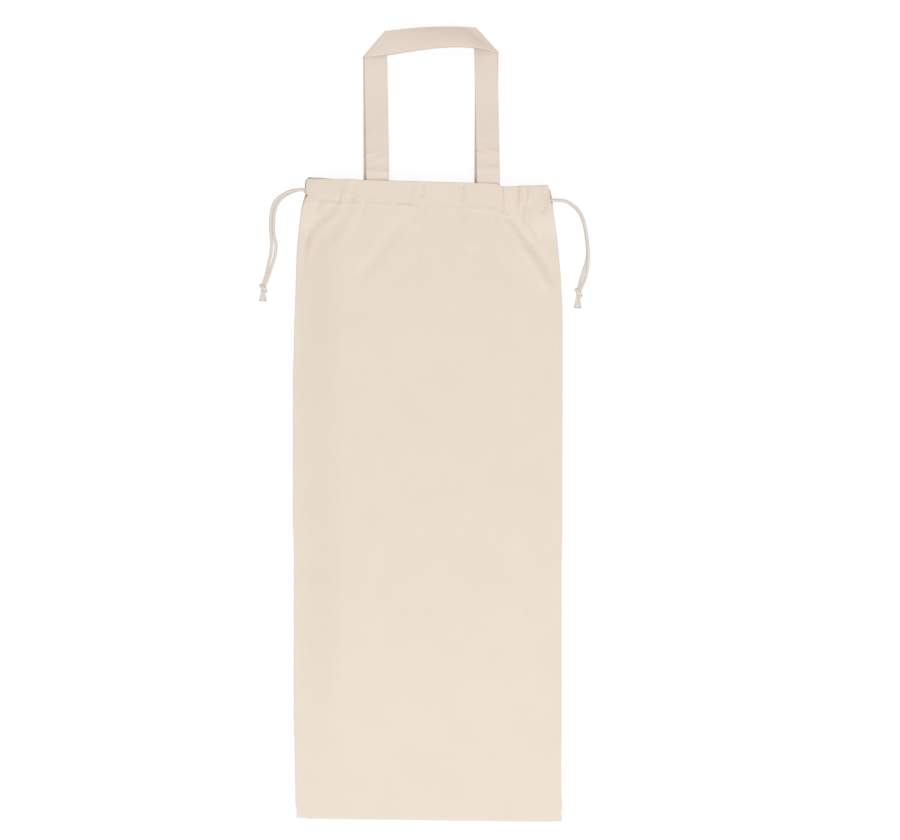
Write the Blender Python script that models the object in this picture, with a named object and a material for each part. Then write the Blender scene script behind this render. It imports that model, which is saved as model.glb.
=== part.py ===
"""A cotton bread bag with two strap handles and two drawcords, lying flat on its back.

The bag lies on the plane z = 0 with its front up, its mouth towards +Y and its width along X.
Its origin is the middle of the ground under bag and handles. Lengths are in metres.
"""

import math

import bmesh
import bpy
from mathutils import Matrix, Vector

MM = 0.001

# Clearances and yarns
GAP = 0.3 * MM  # between two layers that lie on each other
THREAD = 0.4 * MM  # diameter of the sewing thread
TACK = 0.7 * MM  # diameter of a bar tack

# The body, as sewn and lying flat
FABRIC = 0.6 * MM
BAG_WIDTH = 269 * MM  # between the folded side edges, below the gathers
MOUTH_WIDTH = 243 * MM  # across the gathered hem
BAG_LENGTH = 637.5 * MM  # bottom edge to mouth, on the centre line
BODY_LOFT = 14 * MM  # thickness of the two panels at mid-length
GATHER_LENGTH = 150 * MM  # the gathers let go over this length below the mouth
GATHER_POWER = 2.2
BOTTOM_TAPER = 120 * MM  # the front panel comes down to the bottom seam over this length
LOFT_LENGTH = 200 * MM  # and from the hem's height to BODY_LOFT over this one
SIDE_DROP = 28 * MM  # and from the hem to the side seam over this one
PLATEAU = 0.62  # share of the half width over which the front panel lies level
MOUTH_SLOPE = math.tan(math.radians(1.5))  # the bag lies a little askew
BOTTOM_SLOPE = math.tan(math.radians(0.75))
BACK_PEEK = 2.5 * MM  # the back hem stands this far above the front one at the left

# The seams and the drawcord channel
SEAM_ALLOWANCE = 9 * MM
SEAM_INSET = 2 * MM  # from a folded edge to its line of stitches
CORNER_CLIP = 3 * MM  # spare room where the allowances are clipped at the corners
HEM_DEPTH = 19.5 * MM  # mouth to stitch line
HEM_TURN_UP = 1.5 * MM  # the channel's inner ply goes on past the stitches

# The drawcords
CORD = 3 * MM  # diameter
STRAND_GAP = 1.2 * MM  # between the two cords that share a channel
CORD_EXIT = 1 * MM  # the cord inside the channel reaches this far past the side edge
KNOT_CORD = 1.8 * MM  # diameter of a strand drawn tight inside the knot
KNOT_WRAP = 2 * MM  # diameter of the strand that is wound round them
KNOT_TURNS = 1.75
KNOT_PITCH = 2.4 * MM
KNOT_REACH = 4.5 * MM  # the tails run straight this far on both sides of the knot's middle
END_BEND = 8 * MM  # where the two ends below the knot part, and where they stop
END_TIP = 13 * MM
END_BEND_SPREAD = 1.9  # how far apart they are there, in the knot's own spacing
END_TIP_SPREAD = 2.6
END_BEND_HEIGHT = 2.0 * MM
END_TIP_HEIGHT = 1.6 * MM

# The strap handles
STRAP_WIDTH = 23 * MM
STRAP = 1.6 * MM  # thickness
STRAP_EDGE = 0.5 * MM  # how far the rounding of a strap's edge reaches in
HANDLE_RISE = 156.5 * MM  # from the mouth to the top of the handle, on the centre line
LEFT_LEG_X = -49.9 * MM  # centre of the left leg at the mouth
RIGHT_LEG_X = 60.8 * MM
LEFT_LEG_LEAN = math.radians(-0.5)  # the leg's lean to the right of straight up
RIGHT_LEG_LEAN = math.radians(-1.0)
LEFT_CORNER_DROP = 18 * MM  # from the handle's top to where leg and span centre lines cross
RIGHT_CORNER_DROP = 14 * MM
SPAN_RISE_LEFT = math.radians(8)  # the span climbs out of the left corner
SPAN_FALL_RIGHT = math.radians(5)  # and comes down into the right one
DRAPE_LENGTH = 105 * MM  # a strap comes down from hem to ground over this length
FOOT_LENGTH = 14 * MM  # the strap end that is sewn inside the hem
BACK_HANDLE_SHIFT = -2.8 * MM  # the back handle shows this far left of the front one

# Levels and places that follow from them
FOLD = FABRIC + GAP  # from one ply of a folded edge to the next
HEM_RADIUS = FABRIC + GAP + CORD / 2  # outer radius of the hem's fold
HEM_FOLD = HEM_RADIUS - FABRIC / 2  # the same, to the middle of the cloth
HEM_HEIGHT = 2 * HEM_RADIUS
MOUTH_GAP = 2 * (STRAP + TACK) + 5 * GAP
FRONT_HEM_BOTTOM = HEM_HEIGHT + MOUTH_GAP
BACK_LEVEL = FABRIC / 2
HEM_LEVEL = FRONT_HEM_BOTTOM + HEM_HEIGHT - FABRIC / 2
HEM_SIDE_LEVEL = 2 * HEM_HEIGHT + GAP - FABRIC / 2
STITCH_DROP = FABRIC + THREAD + 2 * GAP  # between two plies with a thread between them
SEAM_LEVEL = BACK_LEVEL + 2 * FOLD + STITCH_DROP
THREAD_LEVEL = BACK_LEVEL + FOLD + STITCH_DROP / 2
BODY_LEVEL = BODY_LOFT - FABRIC / 2
EDGE_INSET = FABRIC / 2 + FOLD / 2  # where a panel's level cloth ends and its edge fold begins
TOTAL_LENGTH = BAG_LENGTH + HANDLE_RISE
MOUTH_Y = TOTAL_LENGTH / 2 - HANDLE_RISE
STRAND_MID = (HEM_RADIUS + HEM_DEPTH) / 2
LEFT_STRAND = STRAND_MID - (CORD + STRAND_GAP) / 2  # depth of the left cord below the mouth
RIGHT_STRAND = STRAND_MID + (CORD + STRAND_GAP) / 2
CHANNEL_END = RIGHT_STRAND + CORD / 2 + 2 * GAP / 3 + GAP
CHANNEL_CLOSE = HEM_DEPTH - THREAD - 2 * GAP
SIDE_SEAM_TOP = CHANNEL_END + SIDE_DROP
FRONT, BACK = -1, 1  # which way a panel's folded plies lie from its outer ply


# Shared helpers


def ease(t):
    """Goes smoothly from 0 at t = 0 to 1 at t = 1."""
    t = min(1.0, max(0.0, t))
    return t * t * (3 - 2 * t)


def half_width(depth):
    """Half the bag's width at a depth below the mouth."""
    spread = 1 - (1 - min(1.0, max(0.0, depth / GATHER_LENGTH))) ** GATHER_POWER
    return (MOUTH_WIDTH + (BAG_WIDTH - MOUTH_WIDTH) * spread) / 2


def mouth_y(x, panel):
    """The mouth edge of a panel."""
    y = MOUTH_Y - MOUTH_SLOPE * x
    if panel == BACK:
        y += BACK_PEEK * (0.5 - x / MOUTH_WIDTH)
    return y


def bag_y(x, depth, panel):
    """The place of a point at a depth below the mouth."""
    scale = 1 + (BOTTOM_SLOPE - MOUTH_SLOPE) * x / BAG_LENGTH
    peek = (mouth_y(x, panel) - mouth_y(x, FRONT)) * (1 - ease(depth / GATHER_LENGTH))
    return mouth_y(x, FRONT) + peek - depth * scale


def front_level(x, depth):
    """The middle of the front panel's outer ply: level across the middle, down to the sides."""
    side = HEM_SIDE_LEVEL + (SEAM_LEVEL - HEM_SIDE_LEVEL) * ease((depth - CHANNEL_END) / SIDE_DROP)
    loft = HEM_LEVEL + (BODY_LEVEL - HEM_LEVEL) * ease((depth - CHANNEL_END) / LOFT_LENGTH)
    loft = SEAM_LEVEL + (loft - SEAM_LEVEL) * ease((BAG_LENGTH - depth) / BOTTOM_TAPER)
    across = abs(x) / (half_width(depth) - EDGE_INSET)
    return side + (loft - side) * ease((1 - across) / (1 - PLATEAU))


def level(x, depth, panel):
    return front_level(x, depth) if panel == FRONT else BACK_LEVEL


def material(name, colour, roughness):
    made = bpy.data.materials.new(name)
    made.use_nodes = True
    shader = made.node_tree.nodes["Principled BSDF"]
    shader.inputs["Base Color"].default_value = (*colour, 1)
    shader.inputs["Roughness"].default_value = roughness
    return made


def add_object(name, data, finish, pivot=None):
    """Links an object whose data is in world places, under the empty on its joint's axis if any."""
    made = bpy.data.objects.new(name, data)
    bpy.context.scene.collection.objects.link(made)
    data.materials.append(material(name, *finish))
    if pivot is not None:
        data.transform(pivot.matrix_world.inverted())
        made.parent = pivot
    return made


def add_pivot(name, place, axis):
    """An empty on a joint's axis, with its X along the axis."""
    made = bpy.data.objects.new(name, None)
    bpy.context.scene.collection.objects.link(made)
    turn = Vector((1, 0, 0)).rotation_difference(Vector(axis))
    made.matrix_world = Matrix.Translation(place) @ turn.to_matrix().to_4x4()
    bpy.context.view_layer.update()
    return made


def grid_mesh(name, points):
    """A mesh from rows of points, with a face wherever a cell has all its corners."""
    mesh = bpy.data.meshes.new(name)
    bm = bmesh.new()
    verts = [[bm.verts.new(p) if p is not None else None for p in row] for row in points]
    for low, high in zip(verts, verts[1:]):
        for cell in zip(low, low[1:], high[1:], high):
            if None not in cell:
                bm.faces.new(cell)
    loose = [v for v in bm.verts if not v.link_faces]
    bmesh.ops.delete(bm, geom=loose, context="VERTS")
    bm.to_mesh(mesh)
    bm.free()
    mesh.shade_smooth()
    return mesh


def ring_mesh(name, rings):
    """A closed solid skinned over rings of points, with flat ends."""
    mesh = bpy.data.meshes.new(name)
    bm = bmesh.new()
    loops = [[bm.verts.new(p) for p in ring] for ring in rings]
    for low, high in zip(loops, loops[1:]):
        for i in range(len(low)):
            j = (i + 1) % len(low)
            bm.faces.new((low[i], low[j], high[j], high[i]))
    bm.faces.new(loops[0])
    bm.faces.new(loops[-1])
    bmesh.ops.recalc_face_normals(bm, faces=bm.faces)
    bm.to_mesh(mesh)
    bm.free()
    mesh.shade_smooth()
    mesh.set_sharp_from_angle(angle=math.radians(50))
    return mesh


def tube_curve(name, points, diameter, sides=2, thickness=None):
    """A round tube with filled ends; thickness gives each point's share of the diameter."""
    curve = bpy.data.curves.new(name, "CURVE")
    curve.dimensions = "3D"
    curve.bevel_depth = diameter / 2
    curve.bevel_resolution = sides
    curve.use_fill_caps = True
    spline = curve.splines.new("POLY")
    spline.points.add(len(points) - 1)
    for i, place in enumerate(points):
        spline.points[i].co = (*place, 1)
        spline.points[i].radius = thickness[i] if thickness else 1
    spline.use_smooth = True
    return curve


def smooth_route(points, steps=2):
    """Points on the smooth curve through the chosen ones."""
    ends = [2 * points[0] - points[1], *points, 2 * points[-1] - points[-2]]
    route = []
    for a, b, c, d in zip(ends, ends[1:], ends[2:], ends[3:]):
        for k in range(steps):
            t = k / steps
            route.append(
                b
                + (c - a) * (t / 2)
                + (2 * a - 5 * b + 4 * c - d) * (t * t / 2)
                + (3 * b - a - 3 * c + d) * (t**3 / 2)
            )
    return [*route, points[-1]]


# Body panels, each one piece of canvas with its hem and seam allowances turned in

# Where a panel's rows lie, as shares of the stretch that each group belongs to
TAPER_SHARES = (0, 0.12, 0.3, 0.5, 0.72, 1)
GATHER_SHARES = (2.3, 1.35, 1, 0.75, 0.55, 0.4)
SIDE_DROP_SHARES = (1, 0.75, 0.5, 0.25)


def panel_columns():
    """Where a panel's columns lie across it: (kind, share of the half width)."""
    corner = 1 - (SEAM_ALLOWANCE + CORNER_CLIP) / (BAG_WIDTH / 2)
    slope = corner - PLATEAU
    right = [PLATEAU / 2, PLATEAU, PLATEAU + slope / 3, PLATEAU + slope * 2 / 3, corner, 1]
    body = [("ply", -u) for u in reversed(right)] + [("ply", 0)] + [("ply", u) for u in right]
    left = [("inner", -1), ("under", -1), ("turn", -1)]
    return left + body + [(kind, 1) for kind, _ in reversed(left)]


def panel_rows():
    """A panel's rows from its bottom allowance over the outer ply and the hem to the inner ply.

    Each is (kind, depth below the mouth, distance from the outer ply)."""
    bottom = BAG_LENGTH - EDGE_INSET
    corner = BAG_LENGTH - SEAM_ALLOWANCE - CORNER_CLIP
    rows = [("bottom", bottom - SEAM_ALLOWANCE, FOLD), ("bottom", bottom, FOLD)]
    rows += [("bottom", BAG_LENGTH - FABRIC / 2, FOLD / 2), ("end", bottom, 0)]
    for share in TAPER_SHARES:
        rows.append(("face", corner - share * (BOTTOM_TAPER - SEAM_ALLOWANCE), 0))
    for share in GATHER_SHARES:
        rows.append(("face", GATHER_LENGTH * share, 0))
    for share in SIDE_DROP_SHARES:
        rows.append(("face", CHANNEL_END + SIDE_DROP * share, 0))
    rows += [("hem", HEM_DEPTH, 0), ("hem", CHANNEL_END, 0), ("hem", HEM_RADIUS, 0)]
    for degrees in (60, 30, 0, -30, -60, -90):
        turn = math.radians(degrees)
        depth = HEM_RADIUS - HEM_FOLD * math.cos(turn)
        rows.append(("hem", depth, HEM_FOLD * (1 - math.sin(turn))))
    rows += [("hem", CHANNEL_END, 2 * HEM_FOLD), ("hem", CHANNEL_CLOSE, STITCH_DROP)]
    rows += [("hem", HEM_DEPTH + HEM_TURN_UP, STITCH_DROP)]
    return rows


def panel_point(row, column, panel):
    """The place of one point of a panel, or None where the cloth is clipped away."""
    (part, depth, drop), (kind, share) = row, column
    if kind != "ply" and part != "face":
        return None
    side = half_width(depth)
    corner = side - SEAM_ALLOWANCE - CORNER_CLIP
    x = share * (side - EDGE_INSET)
    if part == "bottom" and abs(x) > corner + EDGE_INSET:
        return None
    if kind == "turn":
        x, drop = share * (side - FABRIC / 2), FOLD / 2
    elif kind == "under":
        drop = FOLD
    elif kind == "inner":
        x, drop = share * (side - EDGE_INSET - SEAM_ALLOWANCE), FOLD
    z = level(x, depth, panel) + panel * drop
    return Vector((x, bag_y(x, depth, panel), z))


def make_panel(name, panel, finish):
    points = [[panel_point(r, c, panel) for c in panel_columns()] for r in panel_rows()]
    made = add_object(name, grid_mesh(name, points), finish)
    cloth = made.modifiers.new("cloth", "SOLIDIFY")
    cloth.thickness = FABRIC
    cloth.offset = 0
    cloth.use_even_offset = True
    cloth.use_quality_normals = True
    return made


# Threads, which lock between the two plies that they join


def make_side_thread(name, sign, finish):
    steps = 14
    lower = BAG_LENGTH - SEAM_ALLOWANCE
    points = []
    for i in range(steps + 1):
        depth = SIDE_SEAM_TOP + (lower - SIDE_SEAM_TOP) * (i / steps) ** 1.5
        x = sign * (half_width(depth) - SEAM_INSET - FABRIC / 2)
        points.append(Vector((x, bag_y(x, depth, FRONT), THREAD_LEVEL)))
    add_object(name, tube_curve(name, points, THREAD, sides=1), finish)


def make_bottom_thread(finish):
    depth = BAG_LENGTH - SEAM_INSET - FABRIC / 2
    reach = half_width(depth) - SEAM_INSET
    points = [Vector((x, bag_y(x, depth, FRONT), THREAD_LEVEL)) for x in (-reach, 0, reach)]
    add_object("bottom_seam_thread", tube_curve("bottom_seam_thread", points, THREAD, sides=1), finish)


def across_hem(depth, drop, panel):
    """Points along the hem at a depth, a distance in from the panel's outer ply."""
    side = half_width(depth) - EDGE_INSET
    points = []
    for kind, share in panel_columns():
        if kind == "ply":
            x = share * side
            points.append(Vector((x, bag_y(x, depth, panel), level(x, depth, panel) + panel * drop)))
    return points


def make_hem_thread(name, panel, finish):
    points = across_hem(HEM_DEPTH, STITCH_DROP / 2, panel)
    add_object(name, tube_curve(name, points[1:-1], THREAD, sides=1), finish)


# Drawcords, each a loop through both channels whose two tails leave at one side


def channel_strand(depth, panel, out_sign):
    """A cord's run through one channel, from where it leaves the hem to the far side."""
    points = across_hem(depth, HEM_FOLD, panel)
    if out_sign > 0:
        points.reverse()
    exit_x = out_sign * (half_width(depth) + CORD_EXIT)
    first = Vector((exit_x, bag_y(exit_x, depth, panel), points[0].z))
    last = Vector((-exit_x, bag_y(-exit_x, depth, panel), points[-1].z))
    return [first, *points[1:-1], last]


def make_cord_loop(name, depth, out_sign, finish):
    """The cord inside the channels, turning from front to back at the far side opening."""
    front = channel_strand(depth, FRONT, out_sign)
    back = channel_strand(depth, BACK, out_sign)
    middle, arm = (front[-1] + back[-1]) / 2, (front[-1] - back[-1]) / 2
    out = Vector((-out_sign * arm.length, 0, 0))
    turn = []
    for degrees in (30, 60, 90, 120, 150):
        angle = math.radians(degrees)
        turn.append(middle + arm * math.cos(angle) + out * math.sin(angle))
    points = front + turn + back[::-1]
    add_object(name, tube_curve(name, points, CORD), finish)
    return front[0], back[0]


def make_tail(name, start, origin, offsets, through, finish, pivot):
    """One tail: full size to the knot, drawn tight through it, full again at its frayed end."""
    chosen = [start, start + Vector((math.copysign(CORD, offsets[0][0]), 0, 0))]
    for x, y, z in offsets:
        chosen.append(Vector((origin.x + x * MM, origin.y + y * MM, z * MM)))
    chosen += through
    steps = 2
    knot_from = len(offsets) + 2
    knot_to = knot_from + 2
    shares = []
    for i in range((len(chosen) - 1) * steps + 1):
        outside = max(0, knot_from - i / steps, i / steps - knot_to)
        shares.append(min(1, (KNOT_CORD + (CORD - KNOT_CORD) * outside) / CORD))
    points = smooth_route(chosen, steps)
    add_object(name, tube_curve(name, points, CORD, thickness=shares), finish, pivot)


def make_knot(name, middle, heading, finish, pivot):
    """The strand wound tight round both tails."""
    along = Vector((math.cos(heading), math.sin(heading), 0))
    across = Vector((-along.y, along.x, 0))
    apart = (KNOT_CORD + GAP) / 2
    radius = KNOT_CORD / 2 + 1.5 * GAP + KNOT_WRAP / 2
    steps = 18
    points = []
    for i in range(steps + 1):
        turn = KNOT_TURNS * i / steps
        side = math.sin(2 * math.pi * turn)
        wide = apart * min(1, max(-1, 2 * side)) + radius * side
        high = Vector((0, 0, radius * math.cos(2 * math.pi * turn)))
        points.append(middle + along * (turn - KNOT_TURNS / 2) * KNOT_PITCH + across * wide + high)
    add_object(name, tube_curve(name, points, KNOT_WRAP), finish, pivot)


# Strap handles, each one folded strip with a mitre at both corners

LEG_STEPS = 9
SPAN_STEPS = 10


def strap_ring(a, b, normal):
    """The strap's cross-section between two points on its edges, with its edges rounded."""
    across = (b - a).normalized() * STRAP_EDGE
    up = normal * STRAP / 2
    return [a, a + across + up, b - across + up, b, b - across - up, a + across - up]


def strap_normals(rows):
    """Each row's normal, square to its width and to the way the strap runs."""
    normals = []
    for i, (a, b) in enumerate(rows):
        before, after = rows[max(i - 1, 0)], rows[min(i + 1, len(rows) - 1)]
        run = after[0] + after[1] - before[0] - before[1]
        normals.append((b - a).cross(run).normalized())
    return normals


def edge_curve(start, end, start_angle, end_angle, t):
    """A point on the curve that leaves start and meets end at these angles from +X."""
    arm = (end - start).length / 3
    one = start + Vector((math.cos(start_angle), math.sin(start_angle), 0)) * arm
    two = end - Vector((math.cos(end_angle), math.sin(end_angle), 0)) * arm
    s = 1 - t
    return start * s**3 + one * (3 * s * s * t) + two * (3 * s * t * t) + end * t**3


def mitre(corner, leg_angle, span_angle):
    """The ends of the fold line at a corner, on the strap's outer and inner edge."""
    line = (leg_angle + span_angle) / 2
    half = abs(math.sin(line - leg_angle))
    reach = STRAP_WIDTH / 2 / half
    way = Vector((math.cos(line), math.sin(line), 0)) * reach
    return corner - way, corner + way


def drape(place, hinge_y, near, far):
    """A strap's height: the hem's at its hinge, the ground's beyond its drape."""
    share = ease((place.y - hinge_y(place.x)) / DRAPE_LENGTH)
    return Vector((place.x, place.y, near + (far - near) * share))


def leg_rows(x, hinge_y, outer, inner, near, far):
    """A leg from its straight end at the hem to the slanting fold line."""
    side = math.copysign(STRAP_WIDTH / 2, outer.x - inner.x)
    start = [Vector((x + side, hinge_y(x + side), 0)), Vector((x - side, hinge_y(x - side), 0))]
    rows = []
    for i in range(LEG_STEPS + 1):
        pair = [a.lerp(b, i / LEG_STEPS) for a, b in zip(start, (outer, inner))]
        rows.append([drape(p, hinge_y, near, far) for p in pair])
    return rows


def fold_rows(outer, inner, far, away):
    """The half turn over the fold line, from the leg's level up to the span's."""
    radius = (STRAP + GAP) / 2
    out = Vector((0, 0, 1)).cross(inner - outer).normalized() * radius * away
    rows = []
    for degrees in (30, 60, 90, 120, 150):
        angle = math.radians(degrees)
        lift = Vector((0, 0, far + radius - radius * math.cos(angle)))
        rows.append([p + lift + out * math.sin(angle) for p in (outer, inner)])
    return rows


def span_rows(left, right, height):
    """The span between two fold lines."""
    rows = []
    for i in range(SPAN_STEPS + 1):
        pair = []
        for a, b in zip(left, right):
            place = edge_curve(a, b, SPAN_RISE_LEFT, -SPAN_FALL_RIGHT, i / SPAN_STEPS)
            pair.append(place + Vector((0, 0, height)))
        rows.append(pair)
    return rows


def make_handle(name, panel, shift, near, far, finish, pivot):
    """A handle's free strap: left leg, mitre, span over the legs, mitre and right leg."""

    def hinge_y(x):
        return mouth_y(x, panel) - HEM_RADIUS

    def corner(x, drop, lean):
        y = MOUTH_Y + HANDLE_RISE - drop
        return Vector((x + (y - hinge_y(x)) * math.tan(lean), y, 0))

    left_x, right_x = LEFT_LEG_X + shift, RIGHT_LEG_X + shift
    left_corner = corner(left_x, LEFT_CORNER_DROP, LEFT_LEG_LEAN)
    right_corner = corner(right_x, RIGHT_CORNER_DROP, RIGHT_LEG_LEAN)
    left = mitre(left_corner, math.pi / 2 - LEFT_LEG_LEAN, SPAN_RISE_LEFT)
    right = mitre(right_corner, math.pi / 2 - RIGHT_LEG_LEAN, math.pi - SPAN_FALL_RIGHT)
    rows = leg_rows(left_x, hinge_y, left[0], left[1], near, far)
    rows += fold_rows(left[0], left[1], far, 1)
    rows += span_rows(left, right, far + STRAP + GAP)
    rows += fold_rows(right[0], right[1], far, -1)[::-1]
    rows += leg_rows(right_x, hinge_y, right[0], right[1], near, far)[::-1]
    rings = [strap_ring(a, b, n) for (a, b), n in zip(rows, strap_normals(rows))]
    add_object(name, ring_mesh(name, rings), finish, pivot)


def make_foot(name, x, panel, strap_level, finish):
    """A strap end, sewn flat on the hem's inner ply."""
    rings = []
    for depth in (HEM_RADIUS + GAP, HEM_RADIUS + GAP + FOOT_LENGTH):
        pair = []
        for side in (-STRAP_WIDTH / 2, STRAP_WIDTH / 2):
            pair.append(Vector((x + side, mouth_y(x + side, panel) - depth, strap_level)))
        rings.append(strap_ring(*pair, Vector((0, 0, 1))))
    add_object(name, ring_mesh(name, rings), finish)


def make_tack(name, x, panel, strap_level, finish):
    """The bar tack across a strap end, on its side towards the mouth."""
    drop = STRAP / 2 + GAP + TACK / 2
    depth = HEM_RADIUS + GAP + FOOT_LENGTH / 2
    reach = STRAP_WIDTH / 2 - 3 * STRAP_EDGE
    points = []
    for side in (-reach, 0, reach):
        y = mouth_y(x + side, panel) - depth
        points.append(Vector((x + side, y, strap_level + panel * drop)))
    add_object(name, tube_curve(name, points, TACK, sides=1), finish)


# Assembly

for old in list(bpy.data.objects):
    bpy.data.objects.remove(old, do_unlink=True)

CANVAS = ((0.82, 0.74, 0.65), 0.9)
TAPE = ((0.80, 0.71, 0.61), 0.9)
ROPE = ((0.86, 0.80, 0.72), 0.85)
YARN = ((0.86, 0.80, 0.71), 0.7)

make_panel("front_panel", FRONT, CANVAS)
make_panel("back_panel", BACK, CANVAS)
make_side_thread("left_seam_thread", -1, YARN)
make_side_thread("right_seam_thread", 1, YARN)
make_bottom_thread(YARN)
make_hem_thread("front_hem_thread", FRONT, YARN)
make_hem_thread("back_hem_thread", BACK, YARN)

FRONT_STRAP_LEVEL = FRONT_HEM_BOTTOM - GAP - STRAP / 2
BACK_STRAP_LEVEL = HEM_HEIGHT + GAP + STRAP / 2
BACK_GROUND_LEVEL = STRAP / 2
FRONT_GROUND_LEVEL = BACK_GROUND_LEVEL + 2 * (STRAP + GAP)

for side_name, leg_x in (("left", LEFT_LEG_X), ("right", RIGHT_LEG_X)):
    make_foot(f"front_handle_foot_{side_name}", leg_x, FRONT, FRONT_STRAP_LEVEL, TAPE)
    make_tack(f"front_handle_tack_{side_name}", leg_x, FRONT, FRONT_STRAP_LEVEL, YARN)
    back_x = leg_x + BACK_HANDLE_SHIFT
    make_foot(f"back_handle_foot_{side_name}", back_x, BACK, BACK_STRAP_LEVEL, TAPE)
    make_tack(f"back_handle_tack_{side_name}", back_x, BACK, BACK_STRAP_LEVEL, YARN)

front_axis = Vector((1, -MOUTH_SLOPE, 0))
back_axis = Vector((1, -MOUTH_SLOPE - BACK_PEEK / MOUTH_WIDTH, 0))
front_hinge = add_pivot(
    "front_handle_hinge",
    Vector((0, mouth_y(0, FRONT) - HEM_RADIUS, HEM_LEVEL + FABRIC / 2 - HEM_RADIUS)),
    front_axis,
)
back_hinge = add_pivot(
    "back_handle_hinge", Vector((0, mouth_y(0, BACK) - HEM_RADIUS, HEM_RADIUS)), back_axis
)
make_handle(
    "front_handle", FRONT, 0, FRONT_STRAP_LEVEL, FRONT_GROUND_LEVEL, TAPE, front_hinge
)
make_handle(
    "back_handle", BACK, BACK_HANDLE_SHIFT, BACK_STRAP_LEVEL, BACK_GROUND_LEVEL, TAPE, back_hinge
)

# Each tail's route on the ground: chosen points in millimetres, x and y from where it leaves the hem,
# z above the ground
LEFT_FRONT_TAIL = [
    (-8, -0.2, 6.9), (-12.5, -1.4, 5.8), (-17.2, -3.9, 4.4), (-22.5, -7.8, 2.9), (-27, -12.8, 1.9),
    (-30.3, -19, 1.55), (-32.2, -26, 1.55), (-32.9, -35, 1.55), (-32.4, -44, 1.55),
    (-32.0, -53, 1.55), (-32.6, -62, 1.55), (-34.3, -71, 1.55), (-36.4, -79, 1.7),
    (-38.9, -86.5, 2.3),
]
LEFT_BACK_TAIL = [
    (-8, 0.8, 2.0), (-12, -2.6, 1.6), (-15.6, -6.9, 1.55), (-19.4, -11.4, 1.55), (-23.2, -16, 1.55),
    (-26.3, -22, 1.55), (-28.3, -29, 1.55), (-28.9, -37, 1.55), (-28.7, -46, 1.55),
    (-28.4, -55, 1.55), (-29.2, -64, 1.55), (-30.8, -72.5, 1.55), (-33, -80.5, 1.7),
    (-35.5, -87.5, 2.3),
]
RIGHT_FRONT_TAIL = [
    (8, -0.1, 6.9), (13, -1.0, 5.9), (18, -3.5, 5.3), (23.4, -8.0, 4.95), (27.6, -13.2, 4.95),
    (30.4, -19.5, 4.95), (32.2, -26.5, 4.95), (33.6, -34.5, 4.95), (34.7, -43, 4.95),
    (35.4, -51, 4.9), (35.8, -58, 4.1), (35.9, -65, 2.2), (34.6, -73, 1.6), (32.4, -80.5, 2.2),
]
RIGHT_BACK_TAIL = [
    (8, -0.4, 1.9), (13, -1.6, 1.6), (18, -4.6, 1.55), (23, -9.2, 1.55), (27, -14.2, 1.55),
    (29.6, -20.2, 1.55), (31.3, -27, 1.55), (32.6, -35, 1.55), (33.6, -43.5, 1.55),
    (33.9, -51, 1.55), (33.2, -58, 1.55), (32.3, -65, 1.55), (31.0, -72.5, 1.6), (28.8, -79.5, 2.2),
]


def knot_passage(middle, heading, side):
    """A tail's points through the knot, and on to where it bends out and to its end."""
    along = Vector((math.cos(heading), math.sin(heading), 0))
    across = Vector((-along.y, along.x, 0)) * side * (KNOT_CORD + GAP) / 2
    places = [middle + along * way + across for way in (-KNOT_REACH, 0, KNOT_REACH)]
    bend = middle + along * END_BEND + across * END_BEND_SPREAD
    tip = middle + along * END_TIP + across * END_TIP_SPREAD
    bend.z, tip.z = END_BEND_HEIGHT, END_TIP_HEIGHT
    return [*places, bend, tip]


def make_drawcord(side_name, out_sign, depth, routes, knot_middle, knot_heading, finish):
    exits = make_cord_loop(f"{side_name}_cord_loop", depth, out_sign, finish)
    pivot = add_pivot(f"{side_name}_cord_exit", exits[0], (out_sign, 0, 0))
    heading = math.radians(knot_heading)
    starts = [place + Vector((out_sign * GAP, 0, 0)) for place in exits]
    middle = Vector((starts[0].x, starts[0].y, 0)) + Vector(knot_middle) * MM
    for kind, start, route, side in zip(("front", "back"), starts, routes, (out_sign, -out_sign)):
        through = knot_passage(middle, heading, side)
        make_tail(f"{side_name}_{kind}_tail", start, starts[0], route, through, finish, pivot)
    make_knot(f"{side_name}_knot", middle, heading, finish, pivot)


LEFT_KNOT, LEFT_KNOT_HEADING = (-40.2, -99.5, 3.45), -102  # place in mm, heading in degrees
RIGHT_KNOT, RIGHT_KNOT_HEADING = (27.4, -92.0, 3.45), -112
left_tails = (LEFT_FRONT_TAIL, LEFT_BACK_TAIL)
right_tails = (RIGHT_FRONT_TAIL, RIGHT_BACK_TAIL)
make_drawcord("left", -1, LEFT_STRAND, left_tails, LEFT_KNOT, LEFT_KNOT_HEADING, ROPE)
make_drawcord("right", 1, RIGHT_STRAND, right_tails, RIGHT_KNOT, RIGHT_KNOT_HEADING, ROPE)
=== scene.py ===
"""The looks of a cotton bread bag that lies flat on its back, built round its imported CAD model.

Lengths are in metres in the CAD's frame: the bag's mouth is towards +Y, its front faces +Z.
"""

import math
import random
from functools import partial

import bpy
import numpy as np
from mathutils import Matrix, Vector, noise


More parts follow.
